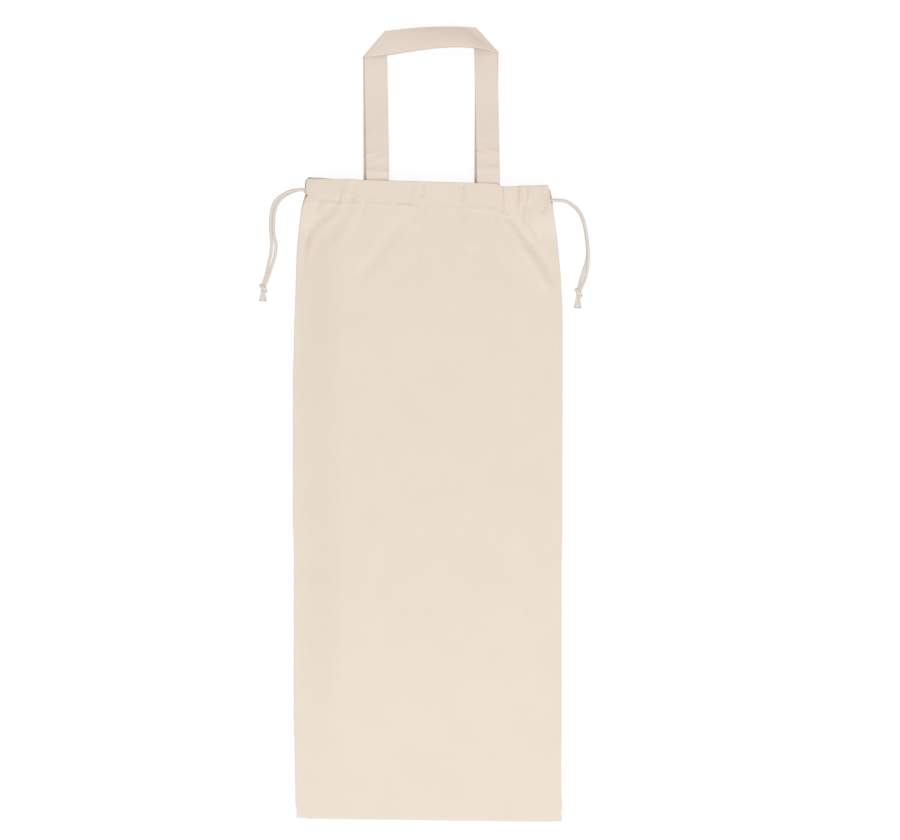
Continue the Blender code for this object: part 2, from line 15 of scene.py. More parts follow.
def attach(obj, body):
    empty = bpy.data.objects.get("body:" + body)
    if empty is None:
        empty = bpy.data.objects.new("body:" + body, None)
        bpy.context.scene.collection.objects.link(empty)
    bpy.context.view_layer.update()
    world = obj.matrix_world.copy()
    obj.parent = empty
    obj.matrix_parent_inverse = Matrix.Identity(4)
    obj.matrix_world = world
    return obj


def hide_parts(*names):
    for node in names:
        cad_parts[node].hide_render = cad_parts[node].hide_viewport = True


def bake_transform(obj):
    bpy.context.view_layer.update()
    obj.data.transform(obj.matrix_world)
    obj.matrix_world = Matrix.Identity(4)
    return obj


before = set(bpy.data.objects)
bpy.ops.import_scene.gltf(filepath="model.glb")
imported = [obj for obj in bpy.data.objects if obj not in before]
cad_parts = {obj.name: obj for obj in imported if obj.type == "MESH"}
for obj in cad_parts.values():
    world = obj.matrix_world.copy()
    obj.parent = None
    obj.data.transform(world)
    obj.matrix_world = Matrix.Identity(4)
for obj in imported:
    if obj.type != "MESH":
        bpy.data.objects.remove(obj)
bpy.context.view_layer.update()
MM = 0.001

# The studio: a table top seen from straight above, from 1.4 m, lit by the room and by one large soft
# lamp high up before the bag's bottom. What the camera sees of the table is white paper, which
# keeps a faint shadow.

PICTURE_WIDTH = 0.9  # what the photograph spans from side to side, at the outline's level
OUTLINE_LEVEL = 4 * MM
PICTURE_MIDDLE = (22.3 * MM, 3.25 * MM)
LENS, SENSOR = 56, 36  # mm
VIEW_DISTANCE = PICTURE_WIDTH * LENS / SENSOR
ROOM_LIGHT, ROOM_COLOUR = 0.735, (1.0, 0.92, 0.865, 1)
TABLE_SIZE, TABLE_LEVEL = 6, -0.2 * MM
TABLE_COLOUR = (0.4, 0.4, 0.4, 1)  # what the table sends back on to the bag
PAPER_COLOUR = (1, 1, 1, 1)
PAPER_GLOW, PAPER_SHARE = 1.22, 0.75  # the rest of what the camera sees is the lit table
LAMP_PLACE, LAMP_SIZE, LAMP_POWER, LAMP_COLOUR = (0.5, -2.0, 2.9), 3, 69, (0.74, 0.9, 1)

camera_place = (*PICTURE_MIDDLE, VIEW_DISTANCE + OUTLINE_LEVEL)
bpy.ops.object.camera_add(location=camera_place, rotation=(0, 0, 0))
camera = bpy.context.object
camera.data.lens = LENS
camera.data.sensor_width = SENSOR
camera.data.clip_end = 20
scene = bpy.context.scene
scene.camera = camera
scene.view_settings.view_transform = "Standard"


def as_seen(points):
    """Moves places in towards the picture's middle as far as their height makes them look out."""
    points = np.array(points, dtype=float)
    out = points[:, :2] - PICTURE_MIDDLE
    points[:, :2] -= out * (points[:, 2:] - OUTLINE_LEVEL) / VIEW_DISTANCE
    return points


def feed(tree, node, inputs):
    """Gives a node's inputs, by name or number, a value or another node's output."""
    for key, value in inputs.items():
        if isinstance(value, bpy.types.NodeSocket):
            tree.links.new(value, node.inputs[key])
        else:
            node.inputs[key].default_value = value
    return node


def add_node(tree, kind, inputs, **settings):
    """A new node with its settings and its inputs."""
    node = tree.nodes.new(kind)
    for name, value in settings.items():
        setattr(node, name, value)
    return feed(tree, node, inputs)


def calculate(tree, operation, *values, clamp=False):
    """A sum, product or the like of numbers and other nodes' outputs."""
    numbers = dict(enumerate(values))
    return add_node(tree, "ShaderNodeMath", numbers, operation=operation, use_clamp=clamp).outputs[0]


def new_finish(name, settings):
    """A material, its tree and its shader, with these settings on the shader's own sockets."""
    made = bpy.data.materials.new(name)
    made.use_nodes = True
    tree = made.node_tree
    return made, tree, feed(tree, tree.nodes["Principled BSDF"], settings)


def show_paper(tree, lit, paper, share, output):
    """The camera, a gloss and glass get this share of the white paper, all else the lit surface."""
    path = tree.nodes.new("ShaderNodeLightPath").outputs
    seen = path["Is Camera Ray"]
    for kind in ("Is Glossy Ray", "Is Transmission Ray"):
        seen = calculate(tree, "ADD", seen, path[kind], clamp=True)
    seen = calculate(tree, "MULTIPLY", seen, share)
    mixed = add_node(tree, "ShaderNodeMixShader", {0: seen, 1: lit.outputs[0], 2: paper.outputs[0]})
    feed(tree, tree.nodes[output], {"Surface": mixed.outputs[0]})


scene.world = bpy.data.worlds.new("room")
scene.world.use_nodes = True
tree = scene.world.node_tree
room = feed(tree, tree.nodes["Background"], {"Color": ROOM_COLOUR, "Strength": ROOM_LIGHT})
paper = add_node(tree, "ShaderNodeBackground", {"Color": PAPER_COLOUR, "Strength": 1})
show_paper(tree, room, paper, 1, "World Output")

bpy.ops.object.select_all(action="DESELECT")
bpy.ops.mesh.primitive_plane_add(size=TABLE_SIZE, location=(0, 0, TABLE_LEVEL))
floor = bpy.context.object
floor.name = "table_top"
matt = {"Base Color": TABLE_COLOUR, "Roughness": 1, "Specular IOR Level": 0}
white, tree, surface = new_finish("table_top", matt)
paper = add_node(tree, "ShaderNodeEmission", {"Color": PAPER_COLOUR, "Strength": PAPER_GLOW})
show_paper(tree, surface, paper, PAPER_SHARE, "Material Output")
floor.data.materials.append(white)

bpy.ops.object.light_add(type="AREA", location=LAMP_PLACE)
lamp = bpy.context.object
lamp.name = "soft_lamp"
lamp.data.size = LAMP_SIZE
lamp.data.energy = LAMP_POWER
lamp.data.color = LAMP_COLOUR
lamp.rotation_euler = (-Vector(LAMP_PLACE)).to_track_quat("-Z", "Y").to_euler()


# The back cloth: one piece of undyed cotton canvas, its top edge turned in as the channel for the
# drawcords, its sides and bottom folded in as seam allowances. It lies flat on the table.

FABRIC = 0.6 * MM
GAP = 0.3 * MM  # between layers that lie on each other
THREAD = 0.4 * MM
CORD = 3 * MM
BAG_WIDTH = 269 * MM
MOUTH_WIDTH = 243 * MM
BAG_LENGTH = 637.5 * MM
BODY_LOFT = 14 * MM  # how high the body lies
GATHER_LENGTH = 150 * MM  # from the mouth down to where the bag has its full width
GATHER_POWER = 2.2
BOTTOM_TAPER = 240 * MM
LOFT_LENGTH = 200 * MM  # from the hem's height down to the body's
SIDE_DROP = 42 * MM
PLATEAU = 0.62  # the share of the width that lies at full height
MOUTH_SLOPE = math.tan(math.radians(1.5))
BOTTOM_SLOPE = math.tan(math.radians(0.75))
BACK_PEEK = 2.5 * MM  # how far the back hem shows beyond the front one at the left
SEAM_ALLOWANCE = 9 * MM
SEAM_INSET = 2 * MM
CORNER_CLIP = 3 * MM
CORNER_LIFT, CORNER_RUN = 2.3 * MM, 6 * MM  # the back cloth's bottom corners close against the front's
HEM_DEPTH = 19.5 * MM
HEM_TURN_UP = 1.5 * MM
HANDLE_RISE = 156.5 * MM
STRAP = 1.6 * MM
STRAND_GAP = 1.2 * MM  # between the two cords in a channel

FOLD = FABRIC + GAP
FOLD_RADIUS = FOLD / 2  # of a folded edge, to the middle of the cloth
HEM_RADIUS = FABRIC + GAP + CORD / 2
HEM_FOLD = HEM_RADIUS - FABRIC / 2
HEM_HEIGHT = 2 * HEM_RADIUS
EDGE_FOLD = 0.5 * MM  # the front hem is pressed this thin at its mouth
EDGE_PRESSED = 7 * MM  # and opens for the cords over this depth
MOUTH_GAP = 2 * (STRAP + THREAD) + 2 * GAP
BACK_LEVEL = FABRIC / 2
HEM_LEVEL = HEM_HEIGHT + MOUTH_GAP + HEM_HEIGHT - FABRIC / 2
HEM_SIDE_LEVEL = 2 * HEM_HEIGHT + GAP - FABRIC / 2
STITCH_DROP = FABRIC + THREAD + 2 * GAP
SEAM_LEVEL = BACK_LEVEL + 2 * FOLD + STITCH_DROP
THREAD_LEVEL = BACK_LEVEL + FOLD + STITCH_DROP / 2
BODY_LEVEL = BODY_LOFT - FABRIC / 2
EDGE_INSET = FABRIC / 2 + FOLD_RADIUS
MOUTH_Y = (BAG_LENGTH + HANDLE_RISE) / 2 - HANDLE_RISE
STRAND_MID = (HEM_RADIUS + HEM_DEPTH) / 2
LEFT_STRAND = STRAND_MID - (CORD + STRAND_GAP) / 2
RIGHT_STRAND = STRAND_MID + (CORD + STRAND_GAP) / 2
CHANNEL_END = RIGHT_STRAND + CORD / 2 + 2 * GAP / 3 + GAP
CHANNEL_CLOSE = HEM_DEPTH - THREAD - 2 * GAP
FRONT, BACK = -1, 1  # which way a cloth's folded plies lie from its outer ply

# How far each side edge stands out of the plain outline, in mm: (depth below the mouth, out)
LEFT_EDGE_OUT = [
    (0, -0.3), (5, 1.0), (9, 0.4), (16, -2.4), (21, -1.7), (29, -0.6), (73, -0.7), (101, -1.6),
    (120, -1.8), (165, -0.8), (200, 0.2), (335, 0.2), (370, -0.8), (540, -0.8), (575, -1.8),
    (637.5, -2.6),
]
RIGHT_EDGE_OUT = [
    (0, 0.2), (5, 0.9), (9, 1.2), (17, 0.8), (21, -0.3), (29, -0.4), (60, 0), (117, 0.3),
    (340, 0), (380, -0.7), (540, -0.7), (580, -1.2), (615, -0.9), (637.5, 0.2),
]
# How far the front hem's ends stop short of the back one's, in mm: (depth below the mouth, short)
HEM_END_SHORT = [(0, 0), (4, 1.2), (15, 1.2), (20, 0)]
INNER_PLY_SHORT = 4.2 * MM  # how far a hem's inner ply ends further in than its outer one
# How far the mouth and the stitches are dragged down by the gathers, in mm: (x, down)
MOUTH_DOWN = [
    (-125, -0.6), (-112, -0.7), (-94, -1.1), (-78, -1.6), (-66, -1.0), (60, -0.9), (68, -0.7),
    (74, 1.9), (82, 1.9), (96, 0.6), (119, -0.4), (125, -0.4),
]
BACK_MOUTH_DOWN = [
    (-125, 0.3), (-108, 0.4), (-96, 1.0), (-78, 1.6), (-58, 2.4), (0, 2.4), (40, 2.2), (64, 2.0),
    (76, 4.4), (84, 4.3), (98, 2.9), (125, 0.8),
]
BACK_MOUTH_UP = [
    (-125, 0), (-120, 0), (-110, 3.2), (-100, 4.4), (-90, 5.6), (-76, 5.6), (-66, 0), (125, 0),
]
BACK_UP_REACH = 8 * MM  # how far down the back cloth's mouth stands up
STITCHES_DOWN = [
    (-125, 0.8), (-108, 1.2), (-80, 1.0), (-64, 0.4), (-16, 1.0), (-8, 3.2), (30, 3.2), (43, 1.6),
    (58, 3.0), (69, 3.6), (76, 6.5), (83, 9.0), (92, 7.5), (104, 4.5), (118, 2.6), (125, 1.5),
]


MOUTH_DRAG, STITCH_DRAG = 12 * MM, 60 * MM  # how far down these drags fade out
EDGE_FROM, END_FROM = 0.7, 0.9  # the shares of the half width where the edges' shapes set in


def ease(t):
    """Goes smoothly from 0 at t = 0 to 1 at t = 1."""
    t = np.clip(t, 0, 1)
    return t * t * (3 - 2 * t)


def along_table(table, at):
    """A value in metres from a table in millimetres, eased between its rows."""
    places, values = (np.array(column) * MM for column in zip(*table))
    i = np.clip(np.searchsorted(places, at) - 1, 0, len(places) - 2)
    share = ease((at - places[i]) / (places[i + 1] - places[i]))
    return values[i] + (values[i + 1] - values[i]) * share


def half_width(depth):
    spread = 1 - (1 - np.clip(depth / GATHER_LENGTH, 0, 1)) ** GATHER_POWER
    return (MOUTH_WIDTH + (BAG_WIDTH - MOUTH_WIDTH) * spread) / 2


def mouth_y(x, panel):
    y = MOUTH_Y - MOUTH_SLOPE * x
    return y + BACK_PEEK * (0.5 - x / MOUTH_WIDTH) if panel == BACK else y


def bag_xy(x, depth, panel):
    """Where a point of the bag lies on the table, dragged as the gathers drag it."""
    scale = 1 + (BOTTOM_SLOPE - MOUTH_SLOPE) * x / BAG_LENGTH
    peek = (mouth_y(x, panel) - mouth_y(x, FRONT)) * (1 - ease(depth / GATHER_LENGTH))
    y = mouth_y(x, FRONT) + peek - depth * scale
    across = x / half_width(depth)
    out = along_table(RIGHT_EDGE_OUT, depth) * ease((across - EDGE_FROM) / (1 - EDGE_FROM))
    out = out - along_table(LEFT_EDGE_OUT, depth) * ease((-across - EDGE_FROM) / (1 - EDGE_FROM))
    near_mouth = 1 - ease(depth / MOUTH_DRAG)
    if panel == FRONT:
        near_stitches = ease(depth / HEM_DEPTH) * (1 - ease((depth - HEM_DEPTH) / STITCH_DRAG))
        y = y - along_table(MOUTH_DOWN, x) * near_mouth - along_table(STITCHES_DOWN, x) * near_stitches
        near_end = np.sign(x) * ease((np.abs(across) - END_FROM) / (1 - END_FROM))
        out = out - along_table(HEM_END_SHORT, depth) * near_end
    else:
        y = y - along_table(BACK_MOUTH_DOWN, x) * near_mouth
    return x + out, y


def run_along(points):
    """How far along a line of points each of them lies."""
    steps = np.linalg.norm(np.diff(np.array(points), axis=0), axis=1)
    return np.concatenate([[0], np.cumsum(steps)])


def smooth_noise(x, y, size, seed):
    """Soft random hills about one size across, from -1 to 1."""
    flat = zip(np.ravel(x), np.ravel(y))
    made = [noise.noise(Vector((a / size, b / size, seed))) for a, b in flat]
    return np.array(made).reshape(np.shape(x))


DRAWN_UP, DRAWN_UP_SIZE = 0.5 * MM, 8 * MM


def back_relief(x, depth):
    """The back cloth's hem is drawn up in small folds above the table."""
    return (0.5 + 0.5 * smooth_noise(x, depth * 0.3, DRAWN_UP_SIZE, 14.2)) * DRAWN_UP


# How closely a cloth's columns stand: (share of the half width, crowding), and how many it has; how
# many rows it has on its face, nearer to its mouth, and on each ply of its hem
CROWDING = [
    (-1, 0.9), (-0.5, 0.9), (-0.45, 0.45), (-0.22, 0.45), (-0.18, 0.8), (0, 0.8), (0.04, 0.45),
    (0.24, 0.5), (0.28, 0.9), (0.33, 0.5), (0.52, 0.5), (0.58, 1.4), (0.9, 1.4), (1, 1),
]
COLUMN_COUNTS = {FRONT: 190, BACK: 90}
ROW_COUNTS = {FRONT: (68, 80, 20), BACK: (30, 14, 7)}
CROWDED_FROM = 135 * MM  # below the mouth


def cloth_columns(steps):
    """Where a cloth's columns lie: (share of the half width, turn, tucked).

    turn is the angle round the folded edge and tucked how far in its allowance the column is."""
    allowance = [0, 0.2, 0.6, 1]
    round_edge = [30, 60, 90, 120, 150, 180]
    left = [(-1, 180, t * SEAM_ALLOWANCE) for t in reversed(allowance[1:])]
    left += [(-1, degrees, 0) for degrees in reversed(round_edge)]
    right = [(1, degrees, 0) for degrees in round_edge]
    right += [(1, 180, t * SEAM_ALLOWANCE) for t in allowance[1:]]
    at = np.linspace(-1, 1, 2001)
    run = np.cumsum(np.interp(at, *zip(*CROWDING)))
    shares = np.interp(np.linspace(run[0], run[-1], steps), run, at)
    return left + [(share, 0, 0) for share in shares] + right


def cloth_rows(panel):
    """A cloth's rows: (part, depth below the mouth, distance in from the outer ply)."""
    on_face, on_gathers, on_hem = ROW_COUNTS[panel]
    bottom = BAG_LENGTH - EDGE_INSET
    corner = BAG_LENGTH - SEAM_ALLOWANCE - CORNER_CLIP
    rows = [("bottom", bottom - SEAM_ALLOWANCE * t, FOLD) for t in (1, 0.66, 0.33, 0)]
    for turn in np.radians([150, 120, 90, 60, 30]):
        rows.append(("bottom", bottom + FOLD_RADIUS * math.sin(turn), FOLD_RADIUS * (1 - math.cos(turn))))
    rows += [("end", bottom - (bottom - corner) * t, 0) for t in (0, 0.2, 0.45, 0.75)]
    rows += [("face", d, 0) for d in np.linspace(corner, CROWDED_FROM, on_face, endpoint=False)]
    high = CHANNEL_END + 1.2 * MM
    crowded = np.linspace(1, 0, on_gathers) ** 1.4
    rows += [("face", high + (CROWDED_FROM - high) * share, 0) for share in crowded]
    radius, pressed = (EDGE_FOLD, EDGE_PRESSED) if panel == FRONT else (HEM_FOLD, HEM_FOLD)
    channel = np.linspace(CHANNEL_END, radius, on_hem)
    rows += [("hem", d, 0) for d in channel]
    for turn in np.radians(range(78, -79, -12)):
        rows.append(("hem", radius * (1 - math.cos(turn)), radius * (1 - math.sin(turn))))
    for d in channel[::-1]:
        opened = ease((d - radius) / max(pressed - radius, 0.01 * MM))
        rows.append(("hem", d, 2 * radius + 2 * (HEM_FOLD - radius) * opened))
    closing = [(CHANNEL_END + CHANNEL_CLOSE) / 2, CHANNEL_CLOSE, HEM_DEPTH, HEM_DEPTH + HEM_TURN_UP]
    for depth, share in zip(closing, (0.5, 1, 1, 1)):
        rows.append(("hem", depth, 2 * HEM_FOLD + (STITCH_DROP - 2 * HEM_FOLD) * share))
    return rows


def cloth_point(row, column):
    """The place of one point of a cloth, or None where the cloth is clipped away."""
    (part, depth, drop), (share, degrees, tucked) = row, column
    if degrees and part != "face":
        return None
    side = half_width(depth)
    x = share * (side - EDGE_INSET)
    if part == "hem":
        x -= share * INNER_PLY_SHORT * drop / (2 * HEM_FOLD)
    if part == "bottom" and abs(x) > side - SEAM_ALLOWANCE - CORNER_CLIP + EDGE_INSET:
        return None
    turn = math.radians(degrees)
    if degrees:
        x += share * (FOLD_RADIUS * math.sin(turn) - tucked)
        drop = FOLD_RADIUS * (1 - math.cos(turn))
    return x, depth, drop


def only(obj):
    """Selects this object alone and makes it the active one."""
    bpy.ops.object.select_all(action="DESELECT")
    obj.select_set(True)
    bpy.context.view_layer.objects.active = obj


def add_skin(name, points, faces):
    """A mesh piece of these points, set so that they look right from the camera."""
    mesh = bpy.data.meshes.new(name)
    mesh.from_pydata(as_seen(points).tolist(), [], faces)
    made = bpy.data.objects.new(name, mesh)
    scene.collection.objects.link(made)
    return made


def face_outwards(piece):
    """Turns all faces of a closed piece outwards."""
    only(piece)
    bpy.ops.object.mode_set(mode="EDIT")
    bpy.ops.mesh.select_all(action="SELECT")
    bpy.ops.mesh.normals_make_consistent(inside=False)
    bpy.ops.object.mode_set(mode="OBJECT")


def make_cloth(name, panel):
    """A cloth as one skin over its rows and columns, with its flat cut as its UV map."""
    columns, rows = cloth_columns(COLUMN_COUNTS[panel]), cloth_rows(panel)
    grid = [[cloth_point(row, column) for column in columns] for row in rows]
    kept = [(r, c) for r, line in enumerate(grid) for c, point in enumerate(line) if point]
    number = {cell: i for i, cell in enumerate(kept)}
    x, depth, drop = np.array([grid[r][c] for r, c in kept]).T
    place_x, place_y = bag_xy(x, depth, panel)
    if panel == FRONT:
        z = front_level(x, depth) + front_relief(x, depth) - drop
    else:
        lifted = np.clip(drop / (2 * HEM_FOLD), 0, 1) * (depth < HEM_DEPTH + HEM_TURN_UP)
        z = BACK_LEVEL + drop + back_relief(x, depth) * lifted
        z += along_table(BACK_MOUTH_UP, x) * (1 - ease(depth / BACK_UP_REACH))
        beyond = np.abs(x) - half_width(depth), depth - BAG_LENGTH
        in_corner = [ease((past + SEAM_ALLOWANCE + CORNER_CLIP) / CORNER_RUN) for past in beyond]
        z += CORNER_LIFT * in_corner[0] * in_corner[1]
    faces = []
    for r in range(len(rows) - 1):
        for c in range(len(columns) - 1):
            cell = [(r, c), (r, c + 1), (r + 1, c + 1), (r + 1, c)]
            if all(corner in number for corner in cell):
                faces.append([number[corner] for corner in cell])
    cloth = add_skin(name, np.stack([place_x, place_y, z], axis=1), faces)
    run = run_along([row[1:] for row in rows])
    flat = []
    for r, c in kept:
        share, degrees, tucked = columns[c]
        u = BAG_WIDTH / 2 * share + share * (FOLD_RADIUS * math.radians(degrees) + tucked)
        flat.append((BAG_WIDTH + u, run[r]))
    layer = cloth.data.uv_layers.new(name="cut")
    corners = np.zeros(len(cloth.data.loops), int)
    cloth.data.loops.foreach_get("vertex_index", corners)
    layer.data.foreach_set("uv", np.array(flat)[corners].ravel())
    only(cloth)
    solid = cloth.modifiers.new("thickness", "SOLIDIFY")
    solid.thickness = FABRIC
    solid.offset = 0
    solid.use_even_offset = solid.use_quality_normals = True
    bpy.ops.object.modifier_apply(modifier=solid.name)
    face_outwards(cloth)
    bpy.ops.object.shade_smooth_by_angle(angle=math.radians(50))
    return cloth


SEED_FLECKS, FLECK_CHANCE, FLECK_SIZE = 95, 0.955, 0.045
SEED_COLOUR, SEED_SHARE = (0.47, 0.35, 0.22, 1), 0.45
YARNS, WEAVE_DEPTH = 1700, 0.07 * MM  # yarns to the metre


def streaks(tree, place, scale, detail=2.0):
    """Noise stretched by a scale along each direction."""
    stretched = add_node(tree, "ShaderNodeMapping", {"Vector": place, "Scale": scale}).outputs[0]
    inputs = {"Vector": stretched, "Scale": 1, "Detail": detail}
    return add_node(tree, "ShaderNodeTexNoise", inputs).outputs["Fac"]


def plain_weave():
    """A plain weave of uneven cotton yarns, with a few seed flecks."""
    tree = bpy.data.node_groups.new("plain weave", "ShaderNodeTree")
    for name, kind in (("Place", "NodeSocketVector"), ("Yarns per metre", "NodeSocketFloat")):
        tree.interface.new_socket(name, in_out="INPUT", socket_type=kind)
    for name in ("Height", "Tone", "Fleck"):
        tree.interface.new_socket(name, in_out="OUTPUT", socket_type="NodeSocketFloat")
    inside = tree.nodes.new("NodeGroupInput").outputs
    place, count = inside["Place"], inside["Yarns per metre"]
    split = add_node(tree, "ShaderNodeSeparateXYZ", {0: place}).outputs
    times, plus = partial(calculate, tree, "MULTIPLY"), partial(calculate, tree, "ADD")
    ways = [times(split[i], count) for i in (0, 1)]
    humps = [calculate(tree, "SINE", times(calculate(tree, "FRACT", way), math.pi)) for way in ways]
    cells = plus(*(calculate(tree, "FLOOR", way) for way in ways))
    weft_on_top = calculate(tree, "MODULO", cells, 2)
    warp, weft = (times(humps[i], calculate(tree, "SQRT", humps[1 - i])) for i in (0, 1))
    under = times(warp, calculate(tree, "SUBTRACT", 1, weft_on_top))
    tone = plus(streaks(tree, place, (1100, 22, 1)), streaks(tree, place, (16, 1250, 1)))
    tone = times(plus(tone, streaks(tree, place, (26, 26, 1), 4)), 1 / 3)
    height = plus(plus(times(weft, weft_on_top), under), times(tone, 1.2))
    spots = add_node(tree, "ShaderNodeTexVoronoi", {"Vector": place, "Scale": SEED_FLECKS}).outputs
    chance = add_node(tree, "ShaderNodeSeparateColor", {0: spots["Color"]}).outputs[0]
    rare = calculate(tree, "GREATER_THAN", chance, FLECK_CHANCE)
    fleck = times(rare, calculate(tree, "LESS_THAN", spots["Distance"], FLECK_SIZE))
    add_node(tree, "NodeGroupOutput", {"Height": height, "Tone": tone, "Fleck": fleck})
    return tree


def mix_colours(tree, share, first, second):
    """The first colour, with a share of the second over it."""
    return add_node(tree, "ShaderNodeMix", {0: share, 6: first, 7: second}, data_type="RGBA").outputs[2]


def rough_surface(tree, shader, height, depth):
    """Feeds a height pattern to the shader's normal as bumps of a depth in metres."""
    bump = add_node(tree, "ShaderNodeBump", {"Strength": 1, "Distance": depth, "Height": height})
    feed(tree, shader, {"Normal": bump.outputs[0]})


weave = plain_weave()


def woven_cotton(name, dark, light):
    """A finish of woven undyed cotton that reads the cloth's own UV map."""
    sheen = {"Sheen Weight": 0.12, "Sheen Roughness": 0.6}
    made, tree, shader = new_finish(name, {"Roughness": 0.88, "Specular IOR Level": 0.25, **sheen})
    cut = add_node(tree, "ShaderNodeUVMap", {}, uv_map="cut").outputs[0]
    inputs = {"Place": cut, "Yarns per metre": YARNS}
    yarns = add_node(tree, "ShaderNodeGroup", inputs, node_tree=weave).outputs
    spread = {"Value": yarns["Tone"], "From Min": 0.22, "From Max": 0.78}
    tone = add_node(tree, "ShaderNodeMapRange", spread).outputs[0]
    seed = calculate(tree, "MULTIPLY", yarns["Fleck"], SEED_SHARE)
    colour = mix_colours(tree, seed, mix_colours(tree, tone, dark, light), SEED_COLOUR)
    feed(tree, shader, {"Base Color": colour})
    rough_surface(tree, shader, yarns["Height"], WEAVE_DEPTH)
    return made


canvas = woven_cotton("canvas", (0.820, 0.709, 0.595, 1), (0.866, 0.763, 0.655, 1))

back_cloth = make_cloth("back_cloth", BACK)
back_cloth.data.materials.append(canvas)
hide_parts("back_panel")
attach(back_cloth, "bag")


# The front cloth: the same cut as the back one, lying loosely over it. Its hem is drawn together
# a little by the cords, so that it puckers, and two long folds run down from the hem to the sides.

# The creases of the front cloth, in mm: (points of its line, height, half width). A crease is a
# ridge or, with a negative height, a valley along its line.
CREASES = [
    ([(-119, 194), (-123, 178), (-125.5, 158), (-127, 145)], -1.5, 3.6),
    ([(-73.7, 242), (-73.7, 222)], -1.7, 1.9),
    ([(-79, 244), (-79, 226)], 0.8, 3),
    ([(-91.5, 244), (-88.5, 233)], -1.2, 1.6),
    ([(-113, 225.5), (-98, 224), (-88.7, 222.5)], -0.6, 2.2),
    ([(-108.5, 222), (-109.5, 213)], -1.1, 1.6),
    ([(-117, 219), (-119, 210)], -0.8, 1.5),
    ([(-63.7, 221), (-64, 210)], -1.0, 1.7),
    ([(-16.7, 239), (-16.5, 217)], -1.0, 1.8),
    ([(-4.7, 240), (-4.9, 226)], -1.5, 1.5),
    ([(34.8, 240), (35.3, 221)], -2.0, 1.5),
    ([(97.5, 222), (96.0, 212), (97, 201)], -1.6, 1.5),
    ([(100.6, 223), (101.0, 212), (102.5, 202)], -1.6, 1.4),
    ([(117.3, 233), (117.8, 222), (116.0, 209)], -2.2, 2.6),
    ([(121.0, 236), (121.5, 224)], -1.6, 1.5),
    ([(100.3, 203), (107.3, 191), (112, 181)], -1.2, 2.2),
    ([(-22.7, 207), (-52.7, 165), (-72.7, 141)], -1.2, 6),
    ([(-66.7, 219), (-94.7, 173)], 0.8, 6),
    ([(-12.7, 199), (-12.7, 153)], -0.8, 7),
    ([(37.3, 207), (45.3, 173)], 1.2, 5),
    ([(48, 217), (57.3, 193), (83.3, 141)], -1.2, 6),
]
# Its folds, in mm in the same way: a fold is a step, high on the right of its line's way.
FOLDS = [
    ([(-89.7, 216.2), (-86.2, 227.2), (-84.7, 236.2)], 0.6, 2.4),
    ([(-124.7, 163), (-121.2, 178.2), (-115.7, 191.2), (-104.7, 201.2), (-96.7, 208.2), (-88.7, 217.2)],
     0.75, 6.0),
    ([(79.3, 205.3), (89.0, 193.3), (97.3, 178.3)], 0.95, 4.9),
    ([(95.0, 183.0), (109.0, 165.3), (117.3, 151.6), (124.0, 135.3)], 1.45, 7.0),
    ([(77.0, 215), (75.6, 226), (75.2, 242)], 1.1, 2.0),
    ([(91.6, 218), (91.2, 228), (91.2, 240)], 1.6, 1.9),
    ([(99.4, 220), (100.6, 228), (100.6, 240)], 1.2, 1.9),
]
# How deep the stitches pull the hem in and how high the cloth bulges below them, in mm: (x, height)
STITCH_GROOVE = [
    (-125, 0.1), (-108, 0.2), (-78, 0.15), (-60, 0.1), (-46, 0.25), (-32, 0.15), (-26, 0.35),
    (-17, 0.35), (-12, 0.2), (3, 0.15), (10, 0.05), (125, 0.05),
]
STITCH_BULGE = [
    (-125, 0.1), (-112, 0.1), (-104, 0.35), (-88, 0.3), (-82, 0.1), (-76, 0.4), (-62, 0.35),
    (-50, 0.1), (-32, 0.15), (-26, 0.6), (-17, 0.65), (-10, 0.1), (20, 0.15), (40, 0.2), (56, 0.45),
    (70, 0.3), (78, 0.45), (86, 0.1), (125, 0.1),
]
STEP_PEAK = math.sqrt(2 * math.e)  # makes a step's crest as high as it says
# The hem's ends lean towards the mouth: (side, how far out this starts, over what length)
END_LEANS = [(-1, 111 * MM, 8 * MM), (1, 102 * MM, 16 * MM)]
END_LEAN, LEAN_FADE = 0.13, 30 * MM


def front_level(x, depth):
    """The middle of the front cloth's outer ply before its folds and puckers."""
    side = HEM_SIDE_LEVEL + (SEAM_LEVEL - HEM_SIDE_LEVEL) * ease((depth - CHANNEL_END) / SIDE_DROP)
    loft = HEM_LEVEL + (BODY_LEVEL - HEM_LEVEL) * ease((depth - CHANNEL_END) / LOFT_LENGTH)
    loft = SEAM_LEVEL + (loft - SEAM_LEVEL) * ease((BAG_LENGTH - depth) / BOTTOM_TAPER)
    across = np.abs(x) / (half_width(depth) - EDGE_INSET)
    return side + (loft - side) * ease((1 - across) / (1 - PLATEAU))


def crease_heights(x, y):
    """The height of all creases and folds at places on the table."""
    total = np.zeros(np.shape(x))
    for line, height, half, stepped in [(*c, False) for c in CREASES] + [(*f, True) for f in FOLDS]:
        points = np.array(line) * MM
        starts = run_along(points)
        nearest = np.full(np.shape(x), 1.0)
        along = np.zeros(np.shape(x))
        hand = np.ones(np.shape(x))
        for a, b, length, start in zip(points, points[1:], np.diff(starts), starts):
            way = (b - a) / length
            t = np.clip((x - a[0]) * way[0] + (y - a[1]) * way[1], 0, length)
            off = np.hypot(x - a[0] - way[0] * t, y - a[1] - way[1] * t)
            closer = off < nearest
            nearest = np.where(closer, off, nearest)
            along = np.where(closer, (start + t) / starts[-1], along)
            hand = np.where(closer, np.sign(way[1] * (x - a[0]) - way[0] * (y - a[1])), hand)
        fade = ease((along + 0.08) / 0.25) * ease((1.08 - along) / 0.25)
        share = nearest / (half * MM)
        shape = np.exp(-(share**2)) * (hand * share * STEP_PEAK if stepped else 1)
        total += height * MM * fade * shape
    return total


